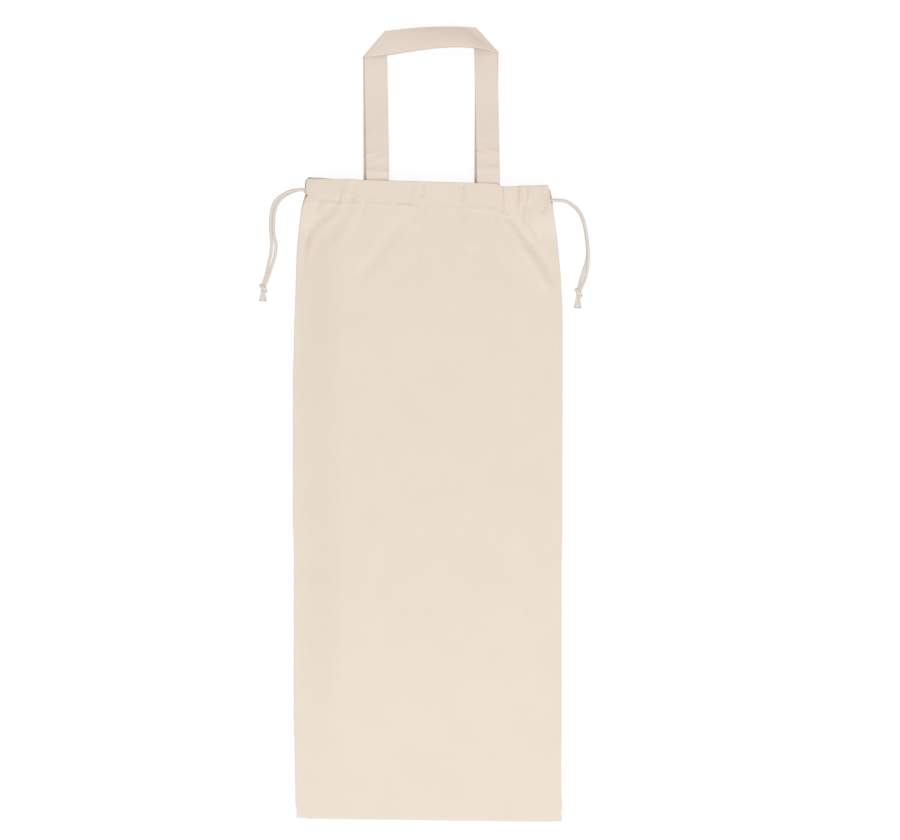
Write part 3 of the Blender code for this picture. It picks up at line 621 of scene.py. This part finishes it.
# What else stirs the front cloth: how high and how large it is, and how wide a band it fills
PUCKER_HEIGHT, PUCKER_SIZE, PUCKER_WIDTH = 0.7 * MM, 4.5 * MM, 9 * MM  # along the hem's stitches
SAG_HEIGHT, SAG_SIZE = 0.9 * MM, 70 * MM
RIPPLE_HEIGHT, RIPPLE_SIZE = 0.22 * MM, 23 * MM
GROOVE_WIDTH = 1.2 * MM
BULGE_BELOW, BULGE_WIDTH = 3.2 * MM, 1.9 * MM
SIDE_HELD, SIDE_FREE, BOTTOM_FREE = 1 * MM, 10 * MM, 25 * MM  # how far in from its seams it lies free
HEM_FREE, HEM_KEEPS = 6 * MM, 0.6  # the hem's own ends keep this share of its folds


def bell(distance, width):
    """1 at no distance, falling off to nothing over about twice the width."""
    return np.exp(-((distance / width) ** 2))


def front_relief(x, depth):
    """Folds, puckers and sag of the front cloth, added to its level."""
    place_x, place_y = bag_xy(x, depth, FRONT)
    from_stitches = depth - HEM_DEPTH
    free = ease((half_width(depth) - np.abs(x) - SIDE_HELD) / SIDE_FREE)
    low = ease((BAG_LENGTH - depth) / BOTTOM_FREE)
    pucker = smooth_noise(x, depth * 0.25, PUCKER_SIZE, 3.1) * PUCKER_HEIGHT
    pucker = pucker * bell(from_stitches, PUCKER_WIDTH)
    groove = along_table(STITCH_BULGE, x) * bell(from_stitches - BULGE_BELOW, BULGE_WIDTH)
    groove -= along_table(STITCH_GROOVE, x) * bell(from_stitches, GROOVE_WIDTH)
    sag = smooth_noise(x, depth, SAG_SIZE, 8.7) * SAG_HEIGHT
    ripple = smooth_noise(x, depth * 0.5, RIPPLE_SIZE, 5.3) * RIPPLE_HEIGHT
    keep = free + (1 - free) * (1 - ease((depth - CHANNEL_END) / HEM_FREE)) * HEM_KEEPS
    lean = sum(ease((sign * x - start) / length) for sign, start, length in END_LEANS)
    lean = lean * END_LEAN * (depth - HEM_DEPTH / 2) * (1 - ease(from_stitches / LEAN_FADE))
    held = (crease_heights(place_x, place_y) + pucker + groove) * keep
    return held + (sag + ripple) * free * low + lean


front_cloth = make_cloth("front_cloth", FRONT)
front_cloth.data.materials.append(canvas)
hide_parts("front_panel")
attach(front_cloth, "bag")


# The seams and hems are sewn in lock stitch with undyed cotton thread: on each face of the cloth
# a row of short stitches, whose ends go down into the needle holes.

STITCH_PITCH = 3.1 * MM
STITCH_LENGTH = 2.6 * MM
STITCH_DIP = 0.35 * MM  # how far its ends go down
STITCH_SKEW = 0.06 * MM  # how far a stitch may sit off its row
HEM_STITCH_IN = 3 * MM  # how far inside the hem's ends its stitches stop


def stitch_model():
    """One stitch along X, its ends bent down into the cloth: its points and its faces."""
    bpy.ops.object.select_all(action="DESELECT")
    bpy.ops.mesh.primitive_uv_sphere_add(segments=8, ring_count=6, radius=0.5)
    model = bpy.context.object
    bpy.ops.object.mode_set(mode="EDIT")
    bpy.ops.transform.rotate(value=math.pi / 2, orient_axis="Y", center_override=(0, 0, 0))
    bpy.ops.transform.resize(value=(STITCH_LENGTH, THREAD * 1.15, THREAD * 0.9))
    bpy.ops.object.mode_set(mode="OBJECT")
    points = np.array([v.co for v in model.data.vertices])
    points[:, 2] -= STITCH_DIP * (points[:, 0] / (STITCH_LENGTH / 2)) ** 4
    faces = [list(face.vertices) for face in model.data.polygons]
    bpy.data.objects.remove(model, do_unlink=True)
    return points, faces


STITCH_POINTS, STITCH_FACES = stitch_model()


def make_stitches(name, rows, node):
    """Stitches along two rows of places, the first on an upper face and the other on a lower one."""
    points, faces, chance = [], [], random.Random(7)
    for line, up in zip(rows, (1, -1)):
        run = run_along(line)
        count = int(run[-1] / STITCH_PITCH)
        for i in range(count):
            ends = run[-1] * (i + 0.5) / count + np.array([-0.5, 0.5]) * STITCH_LENGTH
            a, b = np.stack([np.interp(ends, run, column) for column in line.T], axis=1)
            along = (b - a) / np.linalg.norm(b - a)
            sideways = np.cross([0, 0, up], along)
            sideways /= np.linalg.norm(sideways)
            turn = np.stack([along, sideways, np.cross(along, sideways)])
            skew = sideways * chance.uniform(-1, 1) * STITCH_SKEW
            faces += [[len(points) + v for v in face] for face in STITCH_FACES]
            points += (STITCH_POINTS @ turn + (a + b) / 2 + skew).tolist()
    return link_skin(name, points, faces, thread, [node])


def link_skin(name, points, faces, finish, nodes):
    """A smooth closed skin that stands for CAD nodes."""
    made = add_skin(name, points, faces)
    made.data.materials.append(finish)
    face_outwards(made)
    bpy.ops.object.shade_smooth()
    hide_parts(*nodes)
    return made


def twisted_yarn(name, dark, light, twist):
    """A finish of twisted cotton yarn: fine slanting strands over Object coordinates, with painted shade
    in the grooves between them.
    """
    made, tree, shader = new_finish(name, {"Roughness": 0.8, "Sheen Weight": 0.1})
    place = tree.nodes.new("ShaderNodeTexCoord").outputs["Object"]
    inputs = {"Vector": place, "Scale": twist, "Distortion": 1.5}
    strands = add_node(tree, "ShaderNodeTexWave", inputs, bands_direction="DIAGONAL").outputs["Fac"]
    # Painted shade: the colour follows the strands' bumps, darker where they sink into the grooves
    # between them; the streaks add tone that differs at random.
    both = calculate(tree, "ADD", strands, streaks(tree, place, (900, 900, 900)))
    tone = calculate(tree, "MULTIPLY", both, 0.5)
    feed(tree, shader, {"Base Color": mix_colours(tree, tone, dark, light)})
    rough_surface(tree, shader, strands, 0.04 * MM)
    return made


thread = twisted_yarn("thread", (0.80, 0.72, 0.62, 1), (0.90, 0.84, 0.75, 1), 900)


def laid_row(x, depth, panel, z):
    """Places on a cloth at a level, from their places across it and their depth."""
    place_x, place_y = bag_xy(x, depth, panel)
    return np.stack([place_x, place_y, np.broadcast_to(z, x.shape)], axis=1)


def hem_row(panel, drop, face):
    """Places along a hem's stitch line, on the outer or the inner face of the channel."""
    x = np.linspace(-1, 1, 160) * (half_width(HEM_DEPTH) - HEM_STITCH_IN)
    depth = np.full(len(x), HEM_DEPTH)
    if panel == FRONT:
        z = front_level(x, depth) + front_relief(x, depth) - drop + face
    else:
        z = BACK_LEVEL + drop + back_relief(x, depth) * drop / (2 * HEM_FOLD) + face
    return laid_row(x, depth, panel, z)


def side_row(sign, z):
    """Places down a side seam, between the two cloths' allowances."""
    top = CHANNEL_END + SIDE_DROP
    depth = top + (BAG_LENGTH - SEAM_ALLOWANCE - CORNER_CLIP - top) * np.linspace(0, 1, 120)
    return laid_row(sign * (half_width(depth) - SEAM_INSET - FABRIC / 2), depth, BACK, z)


def bottom_row(z):
    """Places along the bottom seam."""
    depth = BAG_LENGTH - SEAM_INSET - FABRIC / 2
    reach = half_width(depth) - SEAM_ALLOWANCE - CORNER_CLIP
    return laid_row(np.linspace(-reach, reach, 60), np.full(60, depth), BACK, z)


OVER = FABRIC / 2 + THREAD * 0.28  # from the middle of a ply to the middle of a stitch on it
UPPER, LOWER = THREAD_LEVEL + THREAD * 0.35, THREAD_LEVEL - THREAD * 0.35
SEWN = {
    "front_hem": (hem_row(FRONT, 0, OVER), hem_row(FRONT, STITCH_DROP, -OVER)),
    "back_hem": (hem_row(BACK, STITCH_DROP, OVER), hem_row(BACK, 0, 0)),
    "left_seam": (side_row(-1, UPPER), side_row(-1, LOWER)),
    "right_seam": (side_row(1, UPPER), side_row(1, LOWER)),
    "bottom_seam": (bottom_row(UPPER), bottom_row(LOWER)),
}
for name, rows in SEWN.items():
    stitches = make_stitches(f"{name}_stitches", rows, f"{name}_thread")
    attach(stitches, "bag")


# The strap handles: each one strip of the same cotton, folded to 23 mm, stitched along both edges
# and sewn by its ends to the hem's inner ply. The strip lies folded over at both upper corners.

STRAP_WIDTH = 23 * MM
LEFT_LEG_X, RIGHT_LEG_X = -49.9 * MM, 60.8 * MM
LEFT_LEG_LEAN, RIGHT_LEG_LEAN = math.radians(-1.0), math.radians(-1.1)
LEFT_CORNER_DROP, RIGHT_CORNER_DROP = 18 * MM, 14 * MM
SPAN_RISE_LEFT, SPAN_FALL_RIGHT = math.radians(8), math.radians(5)
LOWER_EDGE_RISE, LOWER_EDGE_FALL = math.radians(5.5), math.radians(20)
DRAPE_LENGTH = 110 * MM
CLIMB_START, CLIMB_LENGTH = 80 * MM, 32 * MM  # the front legs climb on to the back handle's corners
FOOT_LENGTH = 14 * MM
EDGE_RISE = 3.3 * MM  # the front straps come up to the hem's pressed edge
RISE_START, RISE_LENGTH = -4.8 * MM, 7.2 * MM  # from below the hinge line on
BACK_HANDLE_SHIFT = -2.8 * MM
BACK_LEANS = math.radians(0.85), math.radians(1.6)  # the back legs close in behind the front ones
BACK_HANDLE_SHORT = 1.2 * MM
FRONT_STRAP_LEVEL = HEM_HEIGHT + MOUTH_GAP - GAP - STRAP / 2
BACK_STRAP_LEVEL = HEM_HEIGHT + GAP + STRAP / 2
BACK_GROUND_LEVEL = STRAP / 2
FRONT_GROUND_LEVEL = BACK_GROUND_LEVEL + STRAP + GAP
EDGE_STITCH_IN = 2 * MM

# How far the span's lower edge stands up, and at which shares of the span it lifts off, stands
# highest and is down again
FRONT_LIFT = (8.5 * MM, -0.12, 0.8, 1.03)
BACK_LIFT = (6 * MM, 0.24, 0.5, 0.76)
SPAN_BOW, BOW_RUN = 1 * MM, 0.15  # the bow's height, and its share of the span at each end
FOLD_PRESSED = 0.5  # a corner's fold stands out this share of a round one
FOOT_STEPS, LEG_STEPS, SPAN_STEPS = 14, 110, 60

# The creases across a front leg, in mm: (distance above the mouth, height, half width)
LEFT_LEG_CREASES = [(9.8, 1.2, 2.2), (26, 0.9, 2.6), (47, 0.3, 2.2), (66, 0.25, 2.2)]
RIGHT_LEG_CREASES = [(15.7, 1.2, 2.3), (31.5, 1.1, 2.3), (49, 0.3, 2.2)]


def heading_way(angle):
    """The way on the table at an angle from +X."""
    return Vector((math.cos(angle), math.sin(angle), 0))


def edge_curve(start, end, start_angle, end_angle, t):
    """A point on the curve that leaves start and meets end at these angles from +X."""
    arm = (end - start).length / 3
    one, two = start + heading_way(start_angle) * arm, end - heading_way(end_angle) * arm
    s = 1 - t
    return start * s**3 + one * (3 * s * s * t) + two * (3 * s * t * t) + end * t**3


def mitre(corner, leg_angle, span_angle):
    """The ends of the fold line at a corner, on the strap's outer and inner edge."""
    line = (leg_angle + span_angle) / 2
    way = heading_way(line) * (STRAP_WIDTH / 2 / abs(math.sin(line - leg_angle)))
    return corner - way, corner + way


def leg_rows(x, panel, outer, inner, levels, creases):
    """A leg's rows from its sewn end inside the hem to the slanting fold line."""
    near, far, climb, rise = levels
    side = math.copysign(STRAP_WIDTH / 2, outer.x - inner.x)
    hinge = [Vector((a, mouth_y(a, panel) - HEM_RADIUS, near)) for a in (x + side, x - side)]
    down = Vector((0, FOOT_LENGTH + GAP, 0))
    rows = [[p - down * t for p in hinge] for t in np.linspace(1, 0, FOOT_STEPS, endpoint=False)]
    for i in range(LEG_STEPS + 1):
        rows.append([a.lerp(b, i / LEG_STEPS) for a, b in zip(hinge, (outer, inner))])
    for pair in rows:
        for p in pair:
            above = p.y - mouth_y(p.x, panel) + HEM_RADIUS
            p.z = near + rise * ease((above - RISE_START) / RISE_LENGTH)
            p.z += (far - near - rise) * ease((above - HEM_RADIUS) / DRAPE_LENGTH)
            p.z += climb * ease((above - CLIMB_START) / CLIMB_LENGTH)
            for place, height, half in creases:
                p.z += height * MM * bell(above - HEM_RADIUS - place * MM, half * MM)
    return rows


def fold_rows(outer, inner, far, away):
    """The half turn over the fold line, from the leg's level up to the span's."""
    radius = (STRAP + GAP) / 2
    out = Vector((0, 0, 1)).cross(inner - outer).normalized() * radius * away * FOLD_PRESSED
    rows = []
    for angle in np.radians(range(15, 180, 15)):
        lift = Vector((0, 0, far + radius - radius * math.cos(angle)))
        rows.append([Vector((p.x, p.y, 0)) + lift + out * math.sin(angle) for p in (outer, inner)])
    return rows


def span_rows(left, right, height, lift):
    """The span between two fold lines, bowed, its lower edge standing up off the table."""
    most, begin, peak, end = lift
    rows = []
    for i in range(SPAN_STEPS + 1):
        t = i / SPAN_STEPS
        lower = edge_curve(left[0], right[0], LOWER_EDGE_RISE, -LOWER_EDGE_FALL, t)
        upper = edge_curve(left[1], right[1], SPAN_RISE_LEFT, -SPAN_FALL_RIGHT, t)
        up = ease((t - begin) / (peak - begin)) * ease((end - t) / (end - peak))
        lower.z, upper.z = height + most * up, height
        rows.append([lower, upper, SPAN_BOW * ease(t / BOW_RUN) * ease((1 - t) / BOW_RUN)])
    return rows


def handle_rows(panel, levels, lift, creases=((), ()), shift=0, leans=(0, 0), short=0):
    """Pairs of points on the strip's outer and inner edge, from one sewn end to the other."""

    def fold_line(x, drop, leg_lean, span_angle):
        y = MOUTH_Y + HANDLE_RISE - short - drop
        corner = Vector((x + (y - mouth_y(x, panel) + HEM_RADIUS) * math.tan(leg_lean), y, 0))
        return mitre(corner, math.pi / 2 - leg_lean, span_angle)

    left_x, right_x = LEFT_LEG_X + shift, RIGHT_LEG_X + shift
    left = fold_line(left_x, LEFT_CORNER_DROP, LEFT_LEG_LEAN + leans[0], SPAN_RISE_LEFT)
    right = fold_line(
        right_x, RIGHT_CORNER_DROP, RIGHT_LEG_LEAN + leans[1], math.pi - SPAN_FALL_RIGHT
    )
    corner_level = levels[1] + levels[2]
    rows = leg_rows(left_x, panel, *left, levels, creases[0])
    rows += fold_rows(*left, corner_level, 1)
    rows += span_rows(left, right, corner_level + STRAP + GAP, lift)
    rows += fold_rows(*right, corner_level, -1)[::-1]
    rows += leg_rows(right_x, panel, *right, levels, creases[1])[::-1]
    return rows


def strap_outline():
    """Half of the strip's cross-section, from edge to edge: (share across, height)."""
    outline = [(0.0, 0.12), (0.004, 0.42), (0.014, 0.72), (0.035, 0.95)]
    groove = EDGE_STITCH_IN / STRAP_WIDTH
    outline += [(groove - 0.028, 1.0), (groove - 0.01, 0.86), (groove + 0.01, 0.86), (groove + 0.03, 1.0)]
    outline += [(share, 1.0 + 0.06 * math.sin(math.pi * share)) for share in (0.2, 0.32, 0.44)]
    return outline + [(1 - share, height) for share, height in reversed(outline)]


def ring_faces(rings, count):
    """The faces between rings of points, all the way round."""
    faces = []
    for r in range(rings - 1):
        for k in range(count):
            n = (k + 1) % count
            faces.append([r * count + k, r * count + n, (r + 1) * count + n, (r + 1) * count + k])
    return faces


def make_handle(name, rows, finish, nodes):
    """Skins the strip over its rows, with length along the strip and width as its UV map."""
    outline = strap_outline()
    section = outline + [(share, -height) for share, height in reversed(outline)]
    points, run = [], run_along([(a + b) / 2 for a, b, *_ in rows])
    for i, (a, b, *bow) in enumerate(rows):
        before, after = rows[max(i - 1, 0)], rows[min(i + 1, len(rows) - 1)]
        way = after[0] + after[1] - before[0] - before[1]
        normal = (b - a).cross(way).normalized()

        for share, height in section:
            bulge = 4 * share * (1 - share) * sum(bow)
            points.append(a.lerp(b, share) + normal * (height * STRAP / 2 - bulge))
    count = len(section)
    faces = ring_faces(len(rows), count)
    for r in (0, len(rows) - 1):
        for k in range(count // 2 - 1):
            faces.append([r * count + v for v in (k, k + 1, count - 2 - k, count - 1 - k)])
    handle = link_skin(name, points, faces, finish, nodes)
    layer = handle.data.uv_layers.new(name="cut")
    for loop, place in zip(handle.data.loops, layer.data):
        row, k = divmod(loop.vertex_index, count)
        share, height = section[k]
        place.uv = (share * STRAP_WIDTH + (0.1 if height < 0 else 0.05), run[row])
    only(handle)
    bpy.ops.object.shade_smooth_by_angle(angle=math.radians(55))
    return handle


strap = woven_cotton("strap", (0.814, 0.702, 0.603, 1), (0.862, 0.760, 0.668, 1))

front_levels = FRONT_STRAP_LEVEL, FRONT_GROUND_LEVEL, STRAP + GAP, EDGE_RISE
front_rows = handle_rows(FRONT, front_levels, FRONT_LIFT, (LEFT_LEG_CREASES, RIGHT_LEG_CREASES))
back_levels = BACK_STRAP_LEVEL, BACK_GROUND_LEVEL, 0, 0
back_rows = handle_rows(
    BACK, back_levels, BACK_LIFT, shift=BACK_HANDLE_SHIFT, leans=BACK_LEANS, short=BACK_HANDLE_SHORT
)

for side, rows, panel in (("front", front_rows, FRONT), ("back", back_rows, BACK)):
    nodes = [f"{side}_handle{end}" for end in ("", "_foot_left", "_foot_right")]
    handle = make_handle(f"{side}_strap", rows, strap, nodes)
    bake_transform(handle)


# The bar tacks: where a strap end lies on the hem's inner ply, a dense zigzag of cotton thread is
# sewn across it, through strap and hem. There is one at each of the four ends.

TACK_TURNS, TACK_HALF_WIDTH, TACK_INSET = 34, 1.0 * MM, 1.5 * MM


def tube_skin(route, radii, sides):
    """A round tube's points and faces over a route; a radius is a number or a function of angle."""
    points = []
    route = [Vector(p) for p in route]
    side = None
    for i, place in enumerate(route):
        way = (route[min(i + 1, len(route) - 1)] - route[max(i - 1, 0)]).normalized()
        if side is None:
            side = way.orthogonal().normalized()
        side = (side - way * side.dot(way)).normalized()
        other = way.cross(side)
        for k in range(sides):
            angle = 2 * math.pi * k / sides
            out = side * math.cos(angle) + other * math.sin(angle)
            points.append(place + out * (radii[i](angle) if callable(radii[i]) else radii[i]))
    ends = [[start + k for k in range(sides)] for start in (0, (len(route) - 1) * sides)]
    return points, ring_faces(len(route), sides) + ends


def make_tack(name, x, panel, strap_level, node):
    """A zigzag of thread over the strap end, on its side towards the mouth."""
    level = strap_level + panel * (STRAP / 2 + THREAD / 2)
    depth = HEM_RADIUS + GAP + FOOT_LENGTH / 2
    reach = STRAP_WIDTH / 2 - TACK_INSET
    route = []
    for i in range(2 * TACK_TURNS + 1):
        at = x - reach + reach * i / TACK_TURNS
        wave = TACK_HALF_WIDTH * (1 if i % 2 else -1)
        route.append((at, mouth_y(at, panel) - depth + wave, level))
    tack = link_skin(name, *tube_skin(route, [THREAD / 2] * len(route), 6), thread, [node])
    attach(tack, "bag")


for side, panel, strap_level, shift in (
    ("front", FRONT, FRONT_STRAP_LEVEL, 0),
    ("back", BACK, BACK_STRAP_LEVEL, BACK_HANDLE_SHIFT),
):
    for end, leg_x in (("left", LEFT_LEG_X), ("right", RIGHT_LEG_X)):
        make_tack(f"{side}_{end}_tack", leg_x + shift, panel, strap_level, f"{side}_handle_tack_{end}")


# The drawcords: two round braided cotton cords of 3 mm. Each runs through both channels as a loop
# and leaves the hem at its own side as two tails, which are tied together in a knot.

# Each tail's way from where it leaves the hem, in mm; where no height is given, it lies on the table
LYING = 1.55
LEFT_FRONT_TAIL = [
    (-8.3, -1.6, 7.4), (-14.5, -3.1, 5.6), (-19.2, -5.5, 4.0), (-24.2, -8.8, 2.5), (-28, -12.6, 1.8),
    (-29.9, -16.3), (-31.3, -21), (-32.3, -26.8), (-32.7, -33.6), (-32.7, -41.6), (-31.9, -50.6),
    (-31.6, -57.6), (-32.3, -63.6), (-33.4, -69.6), (-34.7, -75.6), (-36.1, -81.6, 1.7),
    (-37.4, -87.6, 2.3),
]
LEFT_BACK_TAIL = [
    (-7.5, -2.0, 2.2), (-12.5, -3.9, 1.7), (-17.4, -6.5), (-22.0, -10.2), (-25.2, -14.3),
    (-27.4, -18.8), (-28.8, -23.3), (-29.5, -28.7), (-29.8, -35.6), (-29.7, -42.6), (-28.8, -49.6),
    (-27.5, -55.1), (-27.3, -60.1), (-28.0, -65.6), (-29.4, -71.1), (-31.2, -76.6),
    (-33.0, -82, 1.7), (-34.9, -87.6, 2.3),
]
RIGHT_FRONT_TAIL = [
    (8, -0.3, 7.2), (13, -1.2, 6.1), (18, -3.8, 5.3), (23.4, -8.0, 4.95), (27.6, -13.2, 4.95),
    (30.4, -19.5, 4.95), (32.2, -26.5, 4.95), (33.6, -34.5, 4.95), (34.7, -43, 4.95),
    (35.4, -51, 4.9), (35.6, -58, 4.1), (35.2, -65, 2.4), (33.9, -72.5, 1.6), (31.6, -80.5, 2.2),
]
RIGHT_BACK_TAIL = [
    (8, -0.4, 2.0), (13, -1.4, 1.6), (18, -4.1), (23.2, -8.5), (27.3, -13.6), (30.1, -19.8),
    (31.9, -26.8), (33.2, -34.8), (34.3, -43.2), (34.8, -51), (34.4, -58), (32.6, -65),
    (30.3, -72.5, 1.6), (28.0, -80, 2.2),
]
CORD_EXIT = 1 * MM
EXIT_BEND = 30 * MM  # the stretch in the channel over which a cord slides to where it leaves
EXIT_DOWN = {-1: 1.2 * MM, 1: 0}  # how far the left and right cord slide down in their hem's end
TURN_IN = 4 * MM  # the far turn starts this far inside the hem's end
TURN_OUT = 2 * MM
BRAID_STRANDS, BRAID_LAY, BRAID_SWELL = 6, 5.5 * MM, 0.055
KNOT_CORD = 2.9 * MM
CORD_STEP, KNOT_STEP = 0.35 * MM, 0.4 * MM  # from one ring of the braid to the next
TAIL_TAPER = 0.15  # a tail is drawn thinner by this share as it goes into the knot
KNOT_ENTRY = [(4, 1.15), (2, 1.1)]  # a tail's last places in mm: (short of the knot's middle, aside)
END_OUT = 1.1 * MM, 1.35 * MM, 2 * MM  # how far aside a cord end has its neck, elbow and tip
FIBRES, FIBRE_LENGTH, FIBRE_SPREAD = 60, 2.6 * MM, 1.5 * MM
FIBRE_THINS = [(0, 1), (0.3, 1), (0.6, 0.9), (0.85, 0.6), (1, 0.2)]  # (share of its length, thickness)


def smooth_route(points, spacing):
    """Places about a spacing apart on the smooth curve through the chosen points."""
    ends = [2 * points[0] - points[1], *points, 2 * points[-1] - points[-2]]
    route = []
    for a, b, c, d in zip(ends, ends[1:], ends[2:], ends[3:]):
        steps = max(1, round((c - b).length / spacing))
        for t in (k / steps for k in range(steps)):
            bend = (2 * a - 5 * b + 4 * c - d) * (t * t / 2) + (3 * b - a - 3 * c + d) * (t**3 / 2)
            route.append(b + (c - a) * (t / 2) + bend)
    return [*route, points[-1]]


def braid_radius(run, radius):
    """The braid's radius round the cord at a distance along it."""
    phase = math.pi * BRAID_STRANDS * run / BRAID_LAY

    def at(angle):
        high = max(math.cos(BRAID_STRANDS * angle + phase), math.cos(BRAID_STRANDS * angle - phase))
        return radius * (1 + BRAID_SWELL * high - BRAID_SWELL)

    return at


def braided_skin(route, radius, sides=28):
    """A braided cord's points and faces; radius is a number or a function of the share run."""
    run = run_along(route)
    radii = [braid_radius(r, radius(r / run[-1]) if callable(radius) else radius) for r in run]
    return tube_skin(route, radii, sides)


def in_channel(depth, panel, out_sign):
    """A cord's run through one channel, from where it leaves the hem to the far side."""
    side = half_width(depth)
    x = np.linspace(side + CORD_EXIT, TURN_IN - side, 70) * out_sign
    inside = np.clip(x, -side + EDGE_INSET, side - EDGE_INSET)
    full = np.full(len(x), depth)
    y, front_y = (bag_xy(x, full, cloth)[1] for cloth in (panel, FRONT))
    share = 1 - ease((side + CORD_EXIT - x * out_sign) / EXIT_BEND)
    y = y + (front_y - EXIT_DOWN[out_sign] - y) * share
    if panel == FRONT:
        z = front_level(inside, full) + front_relief(inside, full) * 0.9 - HEM_FOLD
    else:
        z = np.full(len(x), BACK_LEVEL + HEM_FOLD)
    return [Vector(p) for p in np.stack([x, y, z], axis=1)]


cord = twisted_yarn("cord", (0.755, 0.665, 0.60, 1), (0.83, 0.75, 0.69, 1), 420)


def make_channel_cord(name, depth, out_sign, node):
    """The cord inside both channels, turning from front to back at the far side."""
    front, back = (in_channel(depth, panel, out_sign) for panel in (FRONT, BACK))
    middle, arm = (front[-1] + back[-1]) / 2, (front[-1] - back[-1]) / 2
    out = Vector((-out_sign * TURN_OUT, 0, 0))
    turn = [middle + arm * math.cos(a) + out * math.sin(a) for a in np.radians(range(15, 180, 15))]
    route = front + turn + back[::-1]
    loop = link_skin(name, *tube_skin(route, [CORD / 2] * len(route), 20), cord, [node])
    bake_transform(loop)
    return front[0], back[0]


def knot_route(middle, heading):
    """One of the two strands of the overhand knot, from its mouth to where it leaves."""
    along = heading_way(heading)
    across = Vector((-along.y, along.x, 0))
    places = []
    for t in np.linspace(-2.0, 2.0, 61):
        u = 0.25 * MM * (t**5 - 10 * t)
        v = 0.95 * MM * (t**3 - 3 * t)
        w = 0.8 * MM * (t**4 - 4 * t**2 + 2)
        places.append(middle + along * u + across * v + Vector((0, 0, w)))
    return places


def fray(tip, way, chance):
    """Loose fibres that splay out of a cut cord's end: a list of skins."""
    side = way.orthogonal().normalized()
    other = way.cross(side)
    skins = []
    for _ in range(FIBRES):
        angle = chance.uniform(0, 2 * math.pi)
        out = side * math.cos(angle) + other * math.sin(angle)
        start = tip + out * chance.uniform(0.1, 1.15) * MM - way * 0.8 * MM
        bend = out * chance.uniform(0.3, 1) * FIBRE_SPREAD
        reach = FIBRE_LENGTH * chance.uniform(0.55, 1)
        route = []
        for t, _ in FIBRE_THINS:
            place = start + way * reach * t + bend * t * t
            place.z = max(place.z, 0.25 * MM)
            route.append(place)
        thick = chance.uniform(0.1, 0.2) * MM
        skins.append(tube_skin(route, [thick * share for _, share in FIBRE_THINS], 5))
    return skins


def join_skins(skins):
    points, faces = [], []
    for more_points, more_faces in skins:
        faces += [[len(points) + v for v in face] for face in more_faces]
        points += more_points
    return points, faces


def make_tails(side, out_sign, depth, routes, knot_middle, headings, end_length):
    """A drawcord's two tails and their knot, outside the hem; the knot's ends have a heading too."""
    name, node, body = f"{side}_channel_cord", f"{side}_cord_loop", f"{side}_drawcord"
    exits = make_channel_cord(name, depth, out_sign, node)
    heading, end_heading = np.radians(headings)
    out = Vector((out_sign, 0, 0))
    starts = [place + out * GAP for place in exits]
    origin = Vector((starts[0].x, starts[0].y + EXIT_DOWN[out_sign], 0))
    middle = origin + Vector(knot_middle) * MM
    along, down = heading_way(heading), heading_way(end_heading)
    across, aside = Vector((-along.y, along.x, 0)), Vector((-down.y, down.x, 0))
    chance = random.Random(side)
    skins = []
    for strand in (1, -1):
        apart = across * strand * KNOT_CORD * 0.4
        route = [p + apart for p in knot_route(middle, heading)]
        skins.append(braided_skin(smooth_route(route, KNOT_STEP), KNOT_CORD / 2, 20))
        far = 2.5 * MM, end_length * 0.6, end_length
        neck, elbow, tip = (middle + down * d + aside * strand * o for d, o in zip(far, END_OUT))
        elbow.z, tip.z = 2.0 * MM, 1.7 * MM
        end = smooth_route([neck, elbow, tip], CORD_STEP)
        skins.append(braided_skin(end, lambda t: (1.15 + 0.45 * t * t) * MM, 24))
        skins += fray(tip, (tip - elbow).normalized(), chance)
    knot = link_skin(f"{side}_overhand_knot", *join_skins(skins), cord, [f"{side}_knot"])
    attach(knot, body)
    for kind, start, offsets, strand in zip(("front", "back"), starts, routes, (out_sign, -out_sign)):
        chosen = [start - out * 0.8 * MM, start + out * CORD]
        chosen += [origin + Vector((x, y, z[0] if z else LYING)) * MM for x, y, *z in offsets]
        chosen += [middle - (along * short - across * strand * off) * MM for short, off in KNOT_ENTRY]
        route = smooth_route(chosen, CORD_STEP)
        skin = braided_skin(route, lambda t: CORD / 2 * (1 - TAIL_TAPER * ease((t - 0.93) / 0.07)))
        tail = link_skin(f"{side}_{kind}_cord", *skin, cord, [f"{side}_{kind}_tail"])
        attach(tail, body)
        [Vector(p) for p in as_seen(route)]


make_tails(
    "left", -1, LEFT_STRAND, (LEFT_FRONT_TAIL, LEFT_BACK_TAIL), (-39.9, -99.7, 3.45),
    (-102, -93), 11.5 * MM,
)
make_tails(
    "right", 1, RIGHT_STRAND, (RIGHT_FRONT_TAIL, RIGHT_BACK_TAIL), (25.8, -92.6, 3.45),
    (-104, -94), 14 * MM,
)
